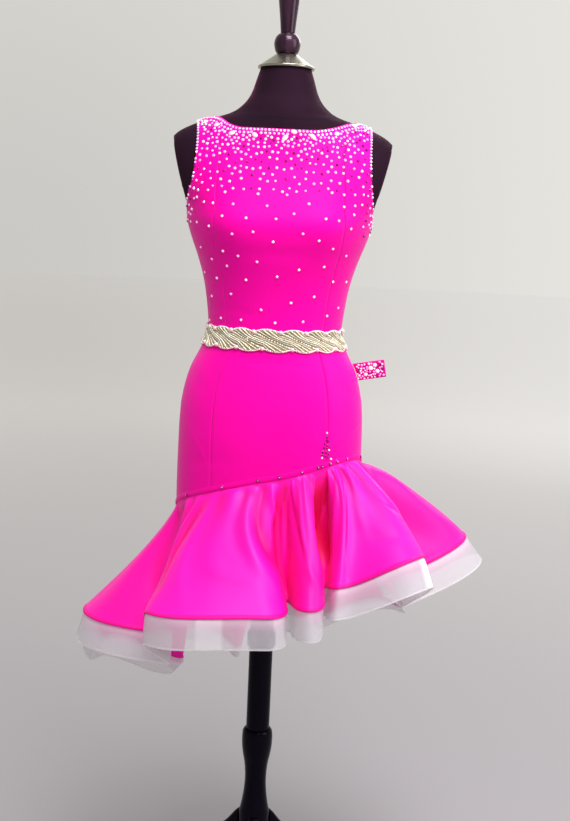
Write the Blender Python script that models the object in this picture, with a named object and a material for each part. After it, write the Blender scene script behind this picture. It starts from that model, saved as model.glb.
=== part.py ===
"""Rumba dance dress on its limbless dress form and turned tripod stand.

All sizes are in metres, +Z up, the front of the dress towards -Y.  A turn is the angle about the
mast in degrees: 0 is the front, 90 is +X, 180 is the back and -90 is -X.
"""
import math

import bmesh
import bpy
from mathutils import Vector

# Cloth
CLOTH_CLEARANCE = 0.0009
FORM_EASE = 0.0022
CLOTH_WALL = 0.0016
SATIN_WALL = 0.0016
HORSEHAIR_WALL = 0.0010
SEAM_GAP = 0.0003
HIP_SEAM_GAP = 0.0009
LINING_GAP = 0.0007
BELT_GAP = 0.0007

# Heights on the body
WAIST_SEAM = 1.1535
FRONT_NECKLINE = 1.5010
BACK_NECKLINE = 1.4250
NECK_POINT = 1.5195
SHOULDER_TIP = 1.5125
UNDERARM = 1.3300

# Rows and columns of the panels, and where they meet, as shares of the way up or to the side
BODICE_ROWS = [0, 0.048, 0.1, 0.17, 0.26, 0.36, 0.45, 0.53, 0.61, 0.7, 0.79, 0.88, 0.945, 0.985, 1]
SKIRT_ROWS = [0, 0.05, 0.1, 0.16, 0.24, 0.35, 0.5, 0.73, 1]
BACK_COLUMNS = [0, 0.15, 0.3, 0.44, 0.56, 0.66, 0.74, 0.8, 0.86, 0.93, 1]
SKIRT_SIDE_COLUMNS = [1, 1.19, 1.38, 1.57, 1.76, 1.93, 2]
SKIRT_BACK_TURNS = [0, 4, 11, 21, 32, 43, 54, 66, 78, 90]
PRINCESS_SHARE = 0.49
NECK_POINT_SHARE = 0.86
# Where the front neckline starts to climb and how long it climbs, as shares of the way to the neck point
LEFT_NECK_CLIMB = (0.44, 0.30)
RIGHT_NECK_CLIMB = (0.27, 0.43)
SKIRT_PRINCESS_TOP = 37.0
SKIRT_PRINCESS_BOTTOM = 33.0

# Belt
BELT_HEIGHT = 0.0350
BELT_MIDDLE = 1.1535
BELT_THICKNESS = 0.0030
BELT_LOBES = 16
BELT_SCALLOP = 0.0016

# Strip over the hip seam
STRIP_ABOVE = 0.0050
STRIP_BELOW = 0.0040
STRIP_THICKNESS = 0.0008
STRIP_OVERLAP = 0.0015

# Stoned tab at the right hip: one strip folded back on itself
TAB_HEIGHT = 0.0300
TAB_LENGTH = 0.0500
TAB_LEVEL = 1.0960
TAB_WALL = 0.0016
TAB_LOOP_GAP = 0.0036
TAB_TILT = 8.0
TAB_STANDOFF = 0.0012

# Horsehair band under the hem
HEM_SHARE = 0.965
BAND_BEND = 0.14
BAND_DROP = 0.0500

# Arm plates
PLATE_LEVEL = 1.4380
PLATE_LEAN = 0.240
PLATE_REACH = 0.1750
PLATE_HALF_WIDTH = 0.0350
PLATE_HALF_HEIGHT = 0.0450
PLATE_THICKNESS = 0.0030
PLATE_SETBACK = 0.0017
PLATE_BEHIND = 0.0040

# Stand
POST_RADIUS = 0.0213
POST_FOOT = 0.4303
POST_HEAD = 0.7370
ROD_RADIUS = 0.0110
ROD_FOOT = 0.1800
ROD_CLEARANCE = 0.0004
COLLAR_RADIUS = 0.0260
COLLAR_FOOT = 0.5880
COLLAR_HEIGHT = 0.0270
FLANGE_RADIUS = 0.0450
FLANGE_SLEEVE_RADIUS = 0.0290
FLANGE_FOOT = 0.7000
FLANGE_PLATE = 0.0065
LEG_TURNS = {"leg_front": 0.0, "leg_right": 120.0, "leg_left": 240.0}
SCREW_LEVEL = 0.4080
SCREW_REACH = 0.0283
SCREW_TURN = 165.0

# Horizontal sections of the body, from the neck down to the underside:
# height, half width, front depth, back depth, squareness (2 is an ellipse)
BODY_SECTIONS = [
    (1.6060, 0.0437, 0.0446, 0.0457, 2.00),
    (1.5900, 0.0490, 0.0478, 0.0518, 2.00),
    (1.5620, 0.0588, 0.0550, 0.0605, 2.00),
    (1.5435, 0.0728, 0.0635, 0.0695, 1.90),
    (1.5305, 0.0930, 0.0690, 0.0760, 1.66),
    (1.5200, 0.1260, 0.0720, 0.0810, 1.60),
    (1.5085, 0.1570, 0.0740, 0.0850, 1.60),
    (1.4950, 0.1810, 0.0760, 0.0890, 1.75),
    (1.4780, 0.1930, 0.0780, 0.0920, 2.00),
    (1.4450, 0.1890, 0.0850, 0.1000, 2.50),
    (1.4100, 0.1780, 0.0950, 0.1040, 2.60),
    (1.3750, 0.1620, 0.1050, 0.1050, 2.50),
    (1.3450, 0.1555, 0.1120, 0.1020, 2.35),
    (1.3210, 0.1480, 0.1110, 0.0995, 2.30),
    (1.2870, 0.1355, 0.1040, 0.0950, 2.25),
    (1.2520, 0.1252, 0.0960, 0.0910, 2.20),
    (1.2180, 0.1190, 0.0905, 0.0885, 2.15),
    (1.1830, 0.1148, 0.0880, 0.0875, 2.10),
    (1.1580, 0.1140, 0.0880, 0.0890, 2.10),
    (1.1310, 0.1250, 0.0910, 0.0930, 2.15),
    (1.0950, 0.1425, 0.0975, 0.1010, 2.20),
    (1.0600, 0.1525, 0.1035, 0.1100, 2.25),
    (1.0240, 0.1575, 0.1080, 0.1180, 2.30),
    (0.9700, 0.1595, 0.1110, 0.1225, 2.35),
    (0.8620, 0.1600, 0.1080, 0.1190, 2.35),
    (0.7900, 0.1565, 0.1040, 0.1140, 2.35),
    (0.7450, 0.1490, 0.0980, 0.1070, 2.30),
]

# The two breasts of the form: turn, height, half spread in degrees and in height, rise
BUST_TURN = 33.0
BUST_LEVEL = 1.3430
BUST_SPREAD = 21.0
BUST_TALL = 0.0430
BUST_RISE = 0.0085

# Side edge of the armhole: height, distance from the middle of the body
ARMHOLE_EDGE = [
    (1.5125, 0.1468),
    (1.4900, 0.1468),
    (1.4500, 0.1475),
    (1.4200, 0.1500),
    (1.3950, 0.1530),
    (1.3750, 0.1555),
    (1.3500, 0.1550),
    (1.3300, 0.1508),
]

# Folds of the flounce at its hem, round from the left side over the front and the back:
# turn, reach from the mast, hem height, breadth of the bend, turn at the hip seam, and the angles
# in degrees below level at which the satin leaves the seam and the horsehair falls from the hem
FOLDS = [
    (-84.0, 0.322, 0.653, 0.28, -88.0, 60.0, 76.0),
    (-50.0, 0.200, 0.645, 0.05, -62.0, 60.0, 80.0),
    (-36.0, 0.300, 0.720, 0.16, -42.0, 56.0, 84.0),
    (1.0, 0.266, 0.7285, 0.19, -10.0, 50.0, 86.0),
    (15.0, 0.160, 0.722, 0.03, 7.0, 55.0, 86.0),
    (18.5, 0.262, 0.738, 0.11, 19.0, 50.0, 85.0),
    (35.5, 0.178, 0.747, 0.03, 31.0, 45.0, 75.0),
    (30.5, 0.256, 0.771, 0.10, 41.0, 40.0, 68.0),
    (51.0, 0.326, 0.822, 0.20, 59.0, 28.0, 60.0),
    (64.0, 0.245, 0.755, 0.05, 71.0, 25.0, 58.0),
    (90.0, 0.358, 0.813, 0.28, 92.0, 10.0, 50.0),
    (112.0, 0.225, 0.700, 0.06, 112.0, 26.0, 58.0),
    (128.0, 0.325, 0.612, 0.26, 130.0, 32.0, 55.0),
    (147.0, 0.185, 0.588, 0.05, 148.0, 40.0, 50.0),
    (171.0, 0.320, 0.570, 0.34, 170.0, 40.0, 50.0),
    (195.0, 0.185, 0.510, 0.05, 194.0, 45.0, 46.0),
    (213.0, 0.315, 0.520, 0.30, 212.0, 45.0, 50.0),
    (231.0, 0.200, 0.500, 0.08, 231.0, 48.0, 44.0),
    (250.0, 0.318, 0.548, 0.16, 250.0, 52.0, 60.0),
]
COLUMNS_PER_FOLD = 6

# Small gathers under the strip, between the folds of the front
GATHER_RISE = 0.0045
GATHER_COLUMNS = 4
GATHER_SHARE = 0.13

# Turned column of the stand, from the top down: height, radius
COLUMN_PROFILE = [
    (0.4300, 0.0232),
    (0.4265, 0.0262),
    (0.4200, 0.0276),
    (0.4080, 0.0280),
    (0.3950, 0.0274),
    (0.3800, 0.0252),
    (0.3650, 0.0222),
    (0.3500, 0.0204),
    (0.3330, 0.0197),
    (0.3180, 0.0202),
    (0.3020, 0.0217),
    (0.2865, 0.0240),
    (0.2750, 0.0262),
    (0.2680, 0.0280),
    (0.1500, 0.0280),
    (0.1400, 0.0240),
    (0.1300, 0.0150),
    (0.1240, 0.0060),
]

# Side view of a leg: reach from the mast, top edge, bottom edge, half thickness
LEG_STATIONS = [
    (0.0284, 0.2670, 0.1520, 0.0105),
    (0.0370, 0.2600, 0.1520, 0.0115),
    (0.0460, 0.2470, 0.1520, 0.0120),
    (0.0600, 0.2300, 0.1500, 0.0120),
    (0.0820, 0.2100, 0.1420, 0.0120),
    (0.1050, 0.1850, 0.1250, 0.0115),
    (0.1280, 0.1560, 0.1010, 0.0110),
    (0.1470, 0.1300, 0.0800, 0.0105),
    (0.1670, 0.1040, 0.0600, 0.0100),
    (0.1930, 0.0750, 0.0390, 0.0100),
    (0.2180, 0.0520, 0.0170, 0.0110),
    (0.2350, 0.0420, 0.0000, 0.0130),
    (0.2600, 0.0330, 0.0000, 0.0140),
    (0.2740, 0.0200, 0.0000, 0.0110),
]

# Neck cap, ball and spindle on the neck, from the top down: height, radius
SPINDLE_PROFILE = [
    (1.7900, 0.0040),
    (1.7860, 0.0110),
    (1.7760, 0.0165),
    (1.7600, 0.0190),
    (1.7400, 0.0190),
    (1.7190, 0.0176),
    (1.6920, 0.0145),
    (1.6653, 0.0120),
]
BALL_PROFILE = [
    (1.6650, 0.0118),
    (1.6626, 0.0158),
    (1.6578, 0.0198),
    (1.6498, 0.0222),
    (1.6418, 0.0216),
    (1.6338, 0.0190),
    (1.6298, 0.0150),
]
CAP_PROFILE = [
    (1.6295, 0.0195),
    (1.6262, 0.0240),
    (1.6190, 0.0340),
    (1.6117, 0.0445),
    (1.6096, 0.0480),
    (1.6063, 0.0475),
]


def clear_scene():
    for thing in list(bpy.data.objects):
        bpy.data.objects.remove(thing, do_unlink=True)


def make_material(name, colour, roughness, metallic=0.0):
    material = bpy.data.materials.new(name)
    material.use_nodes = True
    shader = material.node_tree.nodes["Principled BSDF"]
    shader.inputs["Base Color"].default_value = (*colour, 1.0)
    shader.inputs["Roughness"].default_value = roughness
    shader.inputs["Metallic"].default_value = metallic
    material.diffuse_color = (*colour, 1.0)
    return material


def sloped(table, at, column, key=0):
    """Smooth reading of a table whose key column falls or rises steadily."""
    rows = sorted(table, key=lambda row: row[key])
    at = min(max(at, rows[0][key]), rows[-1][key])
    index = 0
    while index < len(rows) - 2 and at > rows[index + 1][key]:
        index += 1

    def slope(place):
        low = max(place - 1, 0)
        high = min(place + 1, len(rows) - 1)
        return (rows[high][column] - rows[low][column]) / (rows[high][key] - rows[low][key])

    start, end = rows[index], rows[index + 1]
    span = end[key] - start[key]
    share = (at - start[key]) / span
    return hermite(start[column], slope(index) * span, end[column], slope(index + 1) * span, share)


def hermite(start, start_slope, end, end_slope, share):
    square = share * share
    cube = square * share
    return (
        (2 * cube - 3 * square + 1) * start
        + (cube - 2 * square + share) * start_slope
        + (3 * square - 2 * cube) * end
        + (cube - square) * end_slope
    )


def ease(share):
    share = min(max(share, 0.0), 1.0)
    return share * share * (3 - 2 * share)


def signed_power(value, power):
    return math.copysign(abs(value) ** power, value)


# Body surface


def skin_point(turn, height):
    """Point of the dress form's surface."""
    half_width = sloped(BODY_SECTIONS, height, 1)
    front = sloped(BODY_SECTIONS, height, 2)
    back = sloped(BODY_SECTIONS, height, 3)
    power = 2 / sloped(BODY_SECTIONS, height, 4)
    angle = math.radians(turn)
    side = half_width * signed_power(math.sin(angle), power)
    depth = front if math.cos(angle) > 0 else back
    ahead = -depth * signed_power(math.cos(angle), power)
    for breast in (-BUST_TURN, BUST_TURN):
        off = (turn_between(turn, breast) / BUST_SPREAD) ** 2
        off += ((height - BUST_LEVEL) / BUST_TALL) ** 2
        ahead -= BUST_RISE * math.exp(-off)
    limit = max(0.1603, PLATE_REACH + (height - PLATE_LEVEL) * PLATE_LEAN)
    return Vector((math.copysign(min(abs(side), limit), side), ahead, height))


def turn_between(first, second):
    return (first - second + 180.0) % 360.0 - 180.0


def skin_normal(turn, height):
    step_turn = 0.5
    step_height = 0.0008
    across = skin_point(turn + step_turn, height) - skin_point(turn - step_turn, height)
    up = skin_point(turn, height + step_height) - skin_point(turn, height - step_height)
    return across.cross(up).normalized()


def cloth_point(turn, height, out):
    return skin_point(turn, height) + skin_normal(turn, height) * out


# Meshes


def add_object(name, mesh_builder, material, smooth_angle=40.0):
    """Turn a bmesh into a named object, shaded smooth but for its edges."""
    bmesh.ops.recalc_face_normals(mesh_builder, faces=mesh_builder.faces[:])
    if mesh_builder.calc_volume(signed=True) < 0:
        bmesh.ops.reverse_faces(mesh_builder, faces=mesh_builder.faces[:])
    mesh = bpy.data.meshes.new(name)
    mesh_builder.to_mesh(mesh)
    mesh_builder.free()
    mesh.shade_smooth()
    mesh.set_sharp_from_angle(angle=math.radians(smooth_angle))
    mesh.materials.append(material)
    thing = bpy.data.objects.new(name, mesh)
    bpy.context.scene.collection.objects.link(thing)
    return thing


def wall_between(name, inner, outer, material, ring=False):
    """Closed wall between two grids of points, given as rows; ring joins a row's two ends."""
    builder = bmesh.new()
    inside = [[builder.verts.new(point) for point in row] for row in inner]
    outside = [[builder.verts.new(point) for point in row] for row in outer]
    rows = len(inner)
    columns = len(inner[0])
    spans = [(column, (column + 1) % columns) for column in range(columns if ring else columns - 1)]
    for row in range(rows - 1):
        for here, there in spans:
            for grid in (inside, outside):
                upper, lower = grid[row], grid[row + 1]
                builder.faces.new((upper[here], upper[there], lower[there], lower[here]))
    for row in (0, rows - 1):
        for here, there in spans:
            near, far = inside[row], outside[row]
            builder.faces.new((near[here], near[there], far[there], far[here]))
    if not ring:
        for row in range(rows - 1):
            for column in (0, columns - 1):
                edge = (inside[row][column], inside[row + 1][column])
                builder.faces.new((*edge, outside[row + 1][column], outside[row][column]))
    return add_object(name, builder, material)


def turned_solid(name, profile, material, sides=24):
    """Solid of revolution about the mast from (height, radius) rows, closed at both ends."""
    builder = bmesh.new()
    rings = []
    for height, radius in profile:
        ring = []
        for side in range(sides):
            angle = 2 * math.pi * side / sides
            ring.append(builder.verts.new((radius * math.sin(angle), -radius * math.cos(angle), height)))
        rings.append(ring)
    skin_rings(builder, rings)
    return add_object(name, builder, material)


def skin_rings(builder, rings, capped=True):
    sides = len(rings[0])
    for upper, lower in zip(rings, rings[1:]):
        for side in range(sides):
            after = (side + 1) % sides
            builder.faces.new((upper[side], upper[after], lower[after], lower[side]))
    if capped:
        builder.faces.new(rings[0])
        builder.faces.new(rings[-1])


def seam_eased(grid, sides):
    """Draw the named sides of a grid of points in by half a seam gap."""
    moved = [[point.copy() for point in row] for row in grid]
    last_row = len(grid) - 1
    last_column = len(grid[0]) - 1
    for row in range(last_row + 1):
        if "start" in sides:
            moved[row][0] += (grid[row][1] - grid[row][0]).normalized() * SEAM_GAP / 2
        if "end" in sides:
            moved[row][-1] += (grid[row][-2] - grid[row][-1]).normalized() * SEAM_GAP / 2
    for column in range(last_column + 1):
        if "bottom" in sides:
            moved[0][column] += (grid[1][column] - grid[0][column]).normalized() * SEAM_GAP / 2
        if "top" in sides:
            moved[-1][column] += (grid[-2][column] - grid[-1][column]).normalized() * SEAM_GAP / 2
    return moved


def cloth_panel(name, place, acrosses, ups, sides, material):
    """Panel of the body's cloth; place(across, up) gives the turn and height of a point."""
    grids = []
    for out in (CLOTH_CLEARANCE, CLOTH_CLEARANCE + CLOTH_WALL):
        grid = [[cloth_point(*place(across, up), out) for across in acrosses] for up in ups]
        grids.append(seam_eased(grid, sides))
    return wall_between(name, grids[0], grids[1], material)


def steps(start, end, count):
    return [start + (end - start) * step / count for step in range(count + 1)]


# Bodice


def armhole_turn(height):
    """Turn of the armhole's front edge, 90 at the side seam and on top of the shoulder."""
    if height >= SHOULDER_TIP or height <= UNDERARM:
        return 90.0
    half_width = sloped(BODY_SECTIONS, height, 1)
    ratio = min(sloped(ARMHOLE_EDGE, height, 1) / half_width, 1.0)
    return math.degrees(math.asin(ratio ** (sloped(BODY_SECTIONS, height, 4) / 2)))


def bodice_top(across, centre):
    share = abs(across) / NECK_POINT_SHARE
    if share <= 1:
        climb = share ** 2.2
        if centre == FRONT_NECKLINE:
            # flat across the middle, then up to the neck point
            level, rising = LEFT_NECK_CLIMB if across < 0 else RIGHT_NECK_CLIMB
            climb = ease((share - level) / rising)
        return centre + (NECK_POINT - centre) * climb
    beyond = (abs(across) - NECK_POINT_SHARE) / (1 - NECK_POINT_SHARE)
    return NECK_POINT + (SHOULDER_TIP - NECK_POINT) * beyond


def bodice_place(across, up, centre):
    """Turn and height of a point of the bodice's front, across from -1 to 1 and up from 0 to 1."""
    height = WAIST_SEAM + (bodice_top(across, centre) - WAIST_SEAM) * up
    lift = ease((up - 0.45) / 0.55)
    spread = (1 - lift) * across + lift * max(-1.0, min(1.0, across / NECK_POINT_SHARE))
    return armhole_turn(height) * spread, height


def front_place(across, up):
    return bodice_place(across, up, FRONT_NECKLINE)


def back_place(across, up):
    turn, height = bodice_place(across, up, BACK_NECKLINE)
    return 180.0 - turn, height


def build_bodice(material):
    ups = BODICE_ROWS
    middle = steps(-PRINCESS_SHARE, PRINCESS_SHARE, 12)
    cloth_panel("bodice_front", front_place, middle, ups, ("start", "end", "bottom"), material)
    outer_share = steps(PRINCESS_SHARE, NECK_POINT_SHARE, 7) + steps(NECK_POINT_SHARE, 1, 2)[1:]
    sides = ("start", "end", "bottom", "top")
    cloth_panel("bodice_side_right", front_place, outer_share, ups, sides, material)
    mirrored = [-share for share in reversed(outer_share)]
    cloth_panel("bodice_side_left", front_place, mirrored, ups, sides, material)
    cloth_panel("bodice_back_right", back_place, BACK_COLUMNS, ups, sides, material)
    mirrored = [-share for share in reversed(BACK_COLUMNS)]
    cloth_panel("bodice_back_left", back_place, mirrored, ups, sides, material)


# Skirt


def hip_seam(turn):
    """Height of the slanting seam between skirt and flounce."""
    angle = math.radians(turn)
    return 0.8765 + 0.047 * math.sin(angle) + 0.062 * math.cos(angle) - 0.0165 * math.cos(2 * angle)


def skirt_place(turn, down):
    return turn, WAIST_SEAM + (hip_seam(turn) - WAIST_SEAM) * down


def princess_turn(down):
    return SKIRT_PRINCESS_TOP + (SKIRT_PRINCESS_BOTTOM - SKIRT_PRINCESS_TOP) * down


def front_skirt_place(across, down):
    return skirt_place(across * princess_turn(down), down)


def side_skirt_place(across, down):
    princess = princess_turn(down)
    turn = princess + (90.0 - princess) * (abs(across) - 1)
    return skirt_place(math.copysign(turn, across), down)


def build_skirt(material):
    downs = SKIRT_ROWS
    sides = ("start", "end", "bottom", "top")
    cloth_panel("skirt_front", front_skirt_place, steps(-1, 1, 8), downs, sides, material)
    left_columns = [-share for share in reversed(SKIRT_SIDE_COLUMNS)]
    cloth_panel("skirt_side_right", side_skirt_place, SKIRT_SIDE_COLUMNS, downs, sides, material)
    cloth_panel("skirt_side_left", side_skirt_place, left_columns, downs, sides, material)
    right_turns = [90 + turn for turn in SKIRT_BACK_TURNS]
    left_turns = [270 - turn for turn in reversed(SKIRT_BACK_TURNS)]
    cloth_panel("skirt_back_right", skirt_place, right_turns, downs, sides, material)
    cloth_panel("skirt_back_left", skirt_place, left_turns, downs, sides, material)


# Flounce


def fold_row(index):
    """Row of the folds table, carried on round the mast past either end."""
    rounds, place = divmod(index, len(FOLDS))
    row = list(FOLDS[place])
    row[0] += 360.0 * rounds
    row[4] += 360.0 * rounds
    return row


def fold_value(around, column):
    """Smooth reading of a column at a place around the folds, counted in rows."""
    index = math.floor(around)
    before, start, end, after = (fold_row(index + step)[column] for step in (-1, 0, 1, 2))
    return hermite(start, (end - before) / 2, end, (after - start) / 2, around - index)


def hem_point(around):
    """Point of the satin's lower edge."""
    index = math.floor(around)
    ends = []
    for row in (fold_row(index), fold_row(index + 1)):
        angle = math.radians(row[0])
        place = Vector((row[1] * math.sin(angle), -row[1] * math.cos(angle), row[2]))
        bend = Vector((row[3] * math.cos(angle), row[3] * math.sin(angle), 0.0))
        ends.append((place, bend))
    (start, start_bend), (end, end_bend) = ends
    share = around - index
    point = hermite(start, start_bend, end, end_bend, share)
    point.z = start.z + (end.z - start.z) * ease(share)
    return point


def gather_wave(around, share):
    """Rise of the small gathers that run out below the strip at the front."""
    place = fold_value(around, 4)
    reach = ease((place + 40) / 15) * ease((75 - place) / 15)
    fade = (share / GATHER_SHARE) * math.exp(1 - share / GATHER_SHARE)
    wave = math.cos(2 * math.pi * around * COLUMNS_PER_FOLD / GATHER_COLUMNS)
    return GATHER_RISE * reach * fade * wave


def flounce_point(around, share):
    """Middle surface of the satin, from just under the strip (0) to the hem (1)."""
    turn = fold_value(around, 4)
    top = cloth_point(turn, hip_seam(turn) - STRIP_BELOW - STRIP_OVERLAP, CLOTH_CLEARANCE + CLOTH_WALL / 2)
    hem = hem_point(around)
    run = (hem - top).length
    leave = math.radians(fold_value(around, 5))
    outward = Vector((math.sin(math.radians(turn)), -math.cos(math.radians(turn)), 0.0))
    start_way = (outward * math.cos(leave) + Vector((0, 0, -math.sin(leave)))) * run
    end_way = (hem - top) * 1.5 - start_way * 0.5
    point = hermite(top, start_way, hem, end_way, share)
    return point + outward * gather_wave(around, share)


def sheet_normal(surface, around, share):
    """Outward normal of surface(around, share)."""
    step = 0.02
    low = max(share - step, 0.0)
    high = min(share + step, 1.0)
    across = surface(around + step, share) - surface(around - step, share)
    down = surface(around, high) - surface(around, low)
    return down.cross(across).normalized()


def band_point(around, share):
    """Middle surface of the horsehair band, from its tucked top edge (0) to its free edge (1)."""
    hem = hem_point(around)
    above = flounce_point(around, HEM_SHARE)
    fall = hem - above
    lining = (SATIN_WALL + HORSEHAIR_WALL) / 2 + LINING_GAP
    tucked = above - sheet_normal(flounce_point, around, HEM_SHARE) * lining
    steep = math.radians(fold_value(around, 6))
    outward = Vector((fall.x, fall.y, 0.0)).normalized()
    bottom_way = outward * math.cos(steep) + Vector((0.0, 0.0, -math.sin(steep)))
    edge = hem - sheet_normal(flounce_point, around, 1.0) * lining
    if share < BAND_BEND:
        return tucked + (edge - tucked) * (share / BAND_BEND)
    return edge + bottom_way * BAND_DROP * (share - BAND_BEND) / (1 - BAND_BEND)


def build_flounce(satin, horsehair):
    count = len(FOLDS) * COLUMNS_PER_FOLD
    arounds = [column / COLUMNS_PER_FOLD for column in range(count)]
    inner, outer = [], []
    turns = [fold_value(around, 4) for around in arounds]
    for grid, out in ((inner, CLOTH_CLEARANCE), (outer, CLOTH_CLEARANCE + CLOTH_WALL)):
        for drop in (HIP_SEAM_GAP - SEAM_GAP / 2, STRIP_BELOW + STRIP_OVERLAP):
            grid.append([cloth_point(turn, hip_seam(turn) - drop, out) for turn in turns])
    for share in steps(0, 1, 5)[1:-1] + [HEM_SHARE, 1.0]:
        points = [flounce_point(around, share) for around in arounds]
        normals = [sheet_normal(flounce_point, around, share) for around in arounds]
        inner.append([point - normal * SATIN_WALL / 2 for point, normal in zip(points, normals)])
        outer.append([point + normal * SATIN_WALL / 2 for point, normal in zip(points, normals)])
    wall_between("flounce", inner, outer, satin, ring=True)
    inner, outer = [], []
    for share in (0.0, BAND_BEND, 1.0):
        points = [band_point(around, share) for around in arounds]
        normals = [sheet_normal(band_point, around, share) for around in arounds]
        inner.append([point - normal * HORSEHAIR_WALL / 2 for point, normal in zip(points, normals)])
        outer.append([point + normal * HORSEHAIR_WALL / 2 for point, normal in zip(points, normals)])
    wall_between("horsehair_band", inner, outer, horsehair, ring=True)


# Trim


def build_hip_band(material):
    base = CLOTH_CLEARANCE + CLOTH_WALL + SEAM_GAP
    turns = steps(0, 360, 60)[:-1]
    grids = []
    for out in (base, base + STRIP_THICKNESS):
        rows = (STRIP_ABOVE, -STRIP_BELOW)
        grids.append([[cloth_point(turn, hip_seam(turn) + lift, out) for turn in turns] for lift in rows])
    wall_between("hip_band", grids[0], grids[1], material, ring=True)


def build_belt(material):
    """Beaded braid round the waist, scalloped along both edges and thicker along the middle."""
    base = CLOTH_CLEARANCE + CLOTH_WALL + BELT_GAP
    columns = BELT_LOBES * 4
    turns = steps(0, 360, columns)[:-1]
    inner, outer = [], []
    for side in (-1, 0, 1):
        thickness = BELT_THICKNESS if side == 0 else BELT_THICKNESS * 0.6
        low, high = [], []
        for turn in turns:
            scallop = BELT_SCALLOP * (1 - math.cos(math.radians(turn) * BELT_LOBES)) / 2
            height = BELT_MIDDLE + side * (BELT_HEIGHT / 2 - scallop)
            low.append(cloth_point(turn, height, base))
            high.append(cloth_point(turn, height, base + thickness))
        inner.append(low)
        outer.append(high)
    wall_between("waist_belt", inner, outer, material, ring=True)


def build_hip_tab(material):
    """Strip folded back on itself that stands out from the right hip."""
    builder = bmesh.new()
    tilt = math.radians(TAB_TILT)
    along = Vector((math.cos(tilt), 0.0, math.sin(tilt)))
    upward = Vector((-math.sin(tilt), 0.0, math.cos(tilt)))
    half_gap = TAB_LOOP_GAP / 2
    bend_sides = 6
    inside, outside = [(None, -half_gap)], [(None, -half_gap - TAB_WALL)]
    bend_centre = TAB_LENGTH - half_gap - TAB_WALL
    for side in range(bend_sides + 1):
        angle = math.pi * (side / bend_sides - 0.5)
        for track, radius in ((inside, half_gap), (outside, half_gap + TAB_WALL)):
            track.append((bend_centre + radius * math.cos(angle), radius * math.sin(angle)))
    inside.append((None, half_gap))
    outside.append((None, half_gap + TAB_WALL))
    outline = outside + inside[::-1]
    rings = []
    for rise in (-TAB_HEIGHT / 2, TAB_HEIGHT / 2):
        height = TAB_LEVEL + rise
        foot = cloth_point(90.0, height, CLOTH_CLEARANCE + CLOTH_WALL + SEAM_GAP).x + TAB_STANDOFF
        centre = Vector((cloth_point(90.0, TAB_LEVEL, 0.0).x, 0.0, TAB_LEVEL)) + upward * rise
        root = (foot - centre.x) / along.x
        ring = []
        for distance, depth in outline:
            reach = root if distance is None else distance
            ring.append(builder.verts.new(centre + along * reach + Vector((0.0, depth, 0.0))))
        rings.append(ring)
    skin_rings(builder, rings)
    return add_object("hip_tab", builder, material)


# Dress form


def build_torso(material):
    heights = []
    rows = sorted((row[0] for row in BODY_SECTIONS), reverse=True)
    for upper, lower in zip(rows, rows[1:]):
        heights.append(upper)
        if upper - lower > 0.045 or 1.48 < lower < 1.52 or 1.09 < lower < 1.19:
            heights.append((upper + lower) / 2)
    heights.append(rows[-1])
    turns = steps(-180, 180, 34)[:-1]
    builder = bmesh.new()
    rings = []
    for height in heights:
        ease_in = FORM_EASE if heights[0] > height > heights[-1] else 0.0
        points = [cloth_point(turn, height, -ease_in) for turn in turns]
        rings.append([builder.verts.new(point) for point in points])
    skin_rings(builder, rings)
    return add_object("form_torso", builder, material)


def build_arm_plates(material):
    """Oval plates that close the form's arm openings."""
    lean = math.atan(PLATE_LEAN)
    sides = 20
    for name, hand in (("arm_plate_left", -1), ("arm_plate_right", 1)):
        builder = bmesh.new()
        rings = []
        away = Vector((hand * math.cos(lean), 0.0, -math.sin(lean)))
        upward = Vector((hand * math.sin(lean), 0.0, math.cos(lean)))
        middle = Vector((hand * PLATE_REACH, PLATE_BEHIND, PLATE_LEVEL)) - away * PLATE_SETBACK
        for out, size in ((0.0, 1.0), (PLATE_THICKNESS * 0.7, 1.0), (PLATE_THICKNESS, 0.94)):
            ring = []
            for side in range(sides):
                angle = 2 * math.pi * side / sides
                across = Vector((0.0, PLATE_HALF_WIDTH * size * math.cos(angle), 0.0))
                up = upward * PLATE_HALF_HEIGHT * size * math.sin(angle)
                ring.append(builder.verts.new(middle + across + up + away * out))
            rings.append(ring)
        skin_rings(builder, rings)
        add_object(name, builder, material)


# Stand


def build_finial(nickel, lacquer):
    turned_solid("finial_spindle", SPINDLE_PROFILE, lacquer, 20)
    turned_solid("finial_ball", BALL_PROFILE, lacquer, 20)
    turned_solid("neck_cap", CAP_PROFILE, nickel, 28)


def build_flange(material):
    """Cup under the form that turns on the head of the post."""
    bore = POST_RADIUS + ROD_CLEARANCE
    top = BODY_SECTIONS[-1][0] - SEAM_GAP
    fillet = 0.003
    profile = [
        (top, FLANGE_RADIUS),
        (top - FLANGE_PLATE, FLANGE_RADIUS),
        (top - FLANGE_PLATE - fillet, FLANGE_SLEEVE_RADIUS + fillet),
        (top - FLANGE_PLATE - 2 * fillet, FLANGE_SLEEVE_RADIUS),
        (FLANGE_FOOT, FLANGE_SLEEVE_RADIUS),
        (FLANGE_FOOT, bore),
        (POST_HEAD + SEAM_GAP, bore),
    ]
    turned_solid("form_flange", profile, material)


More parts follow.
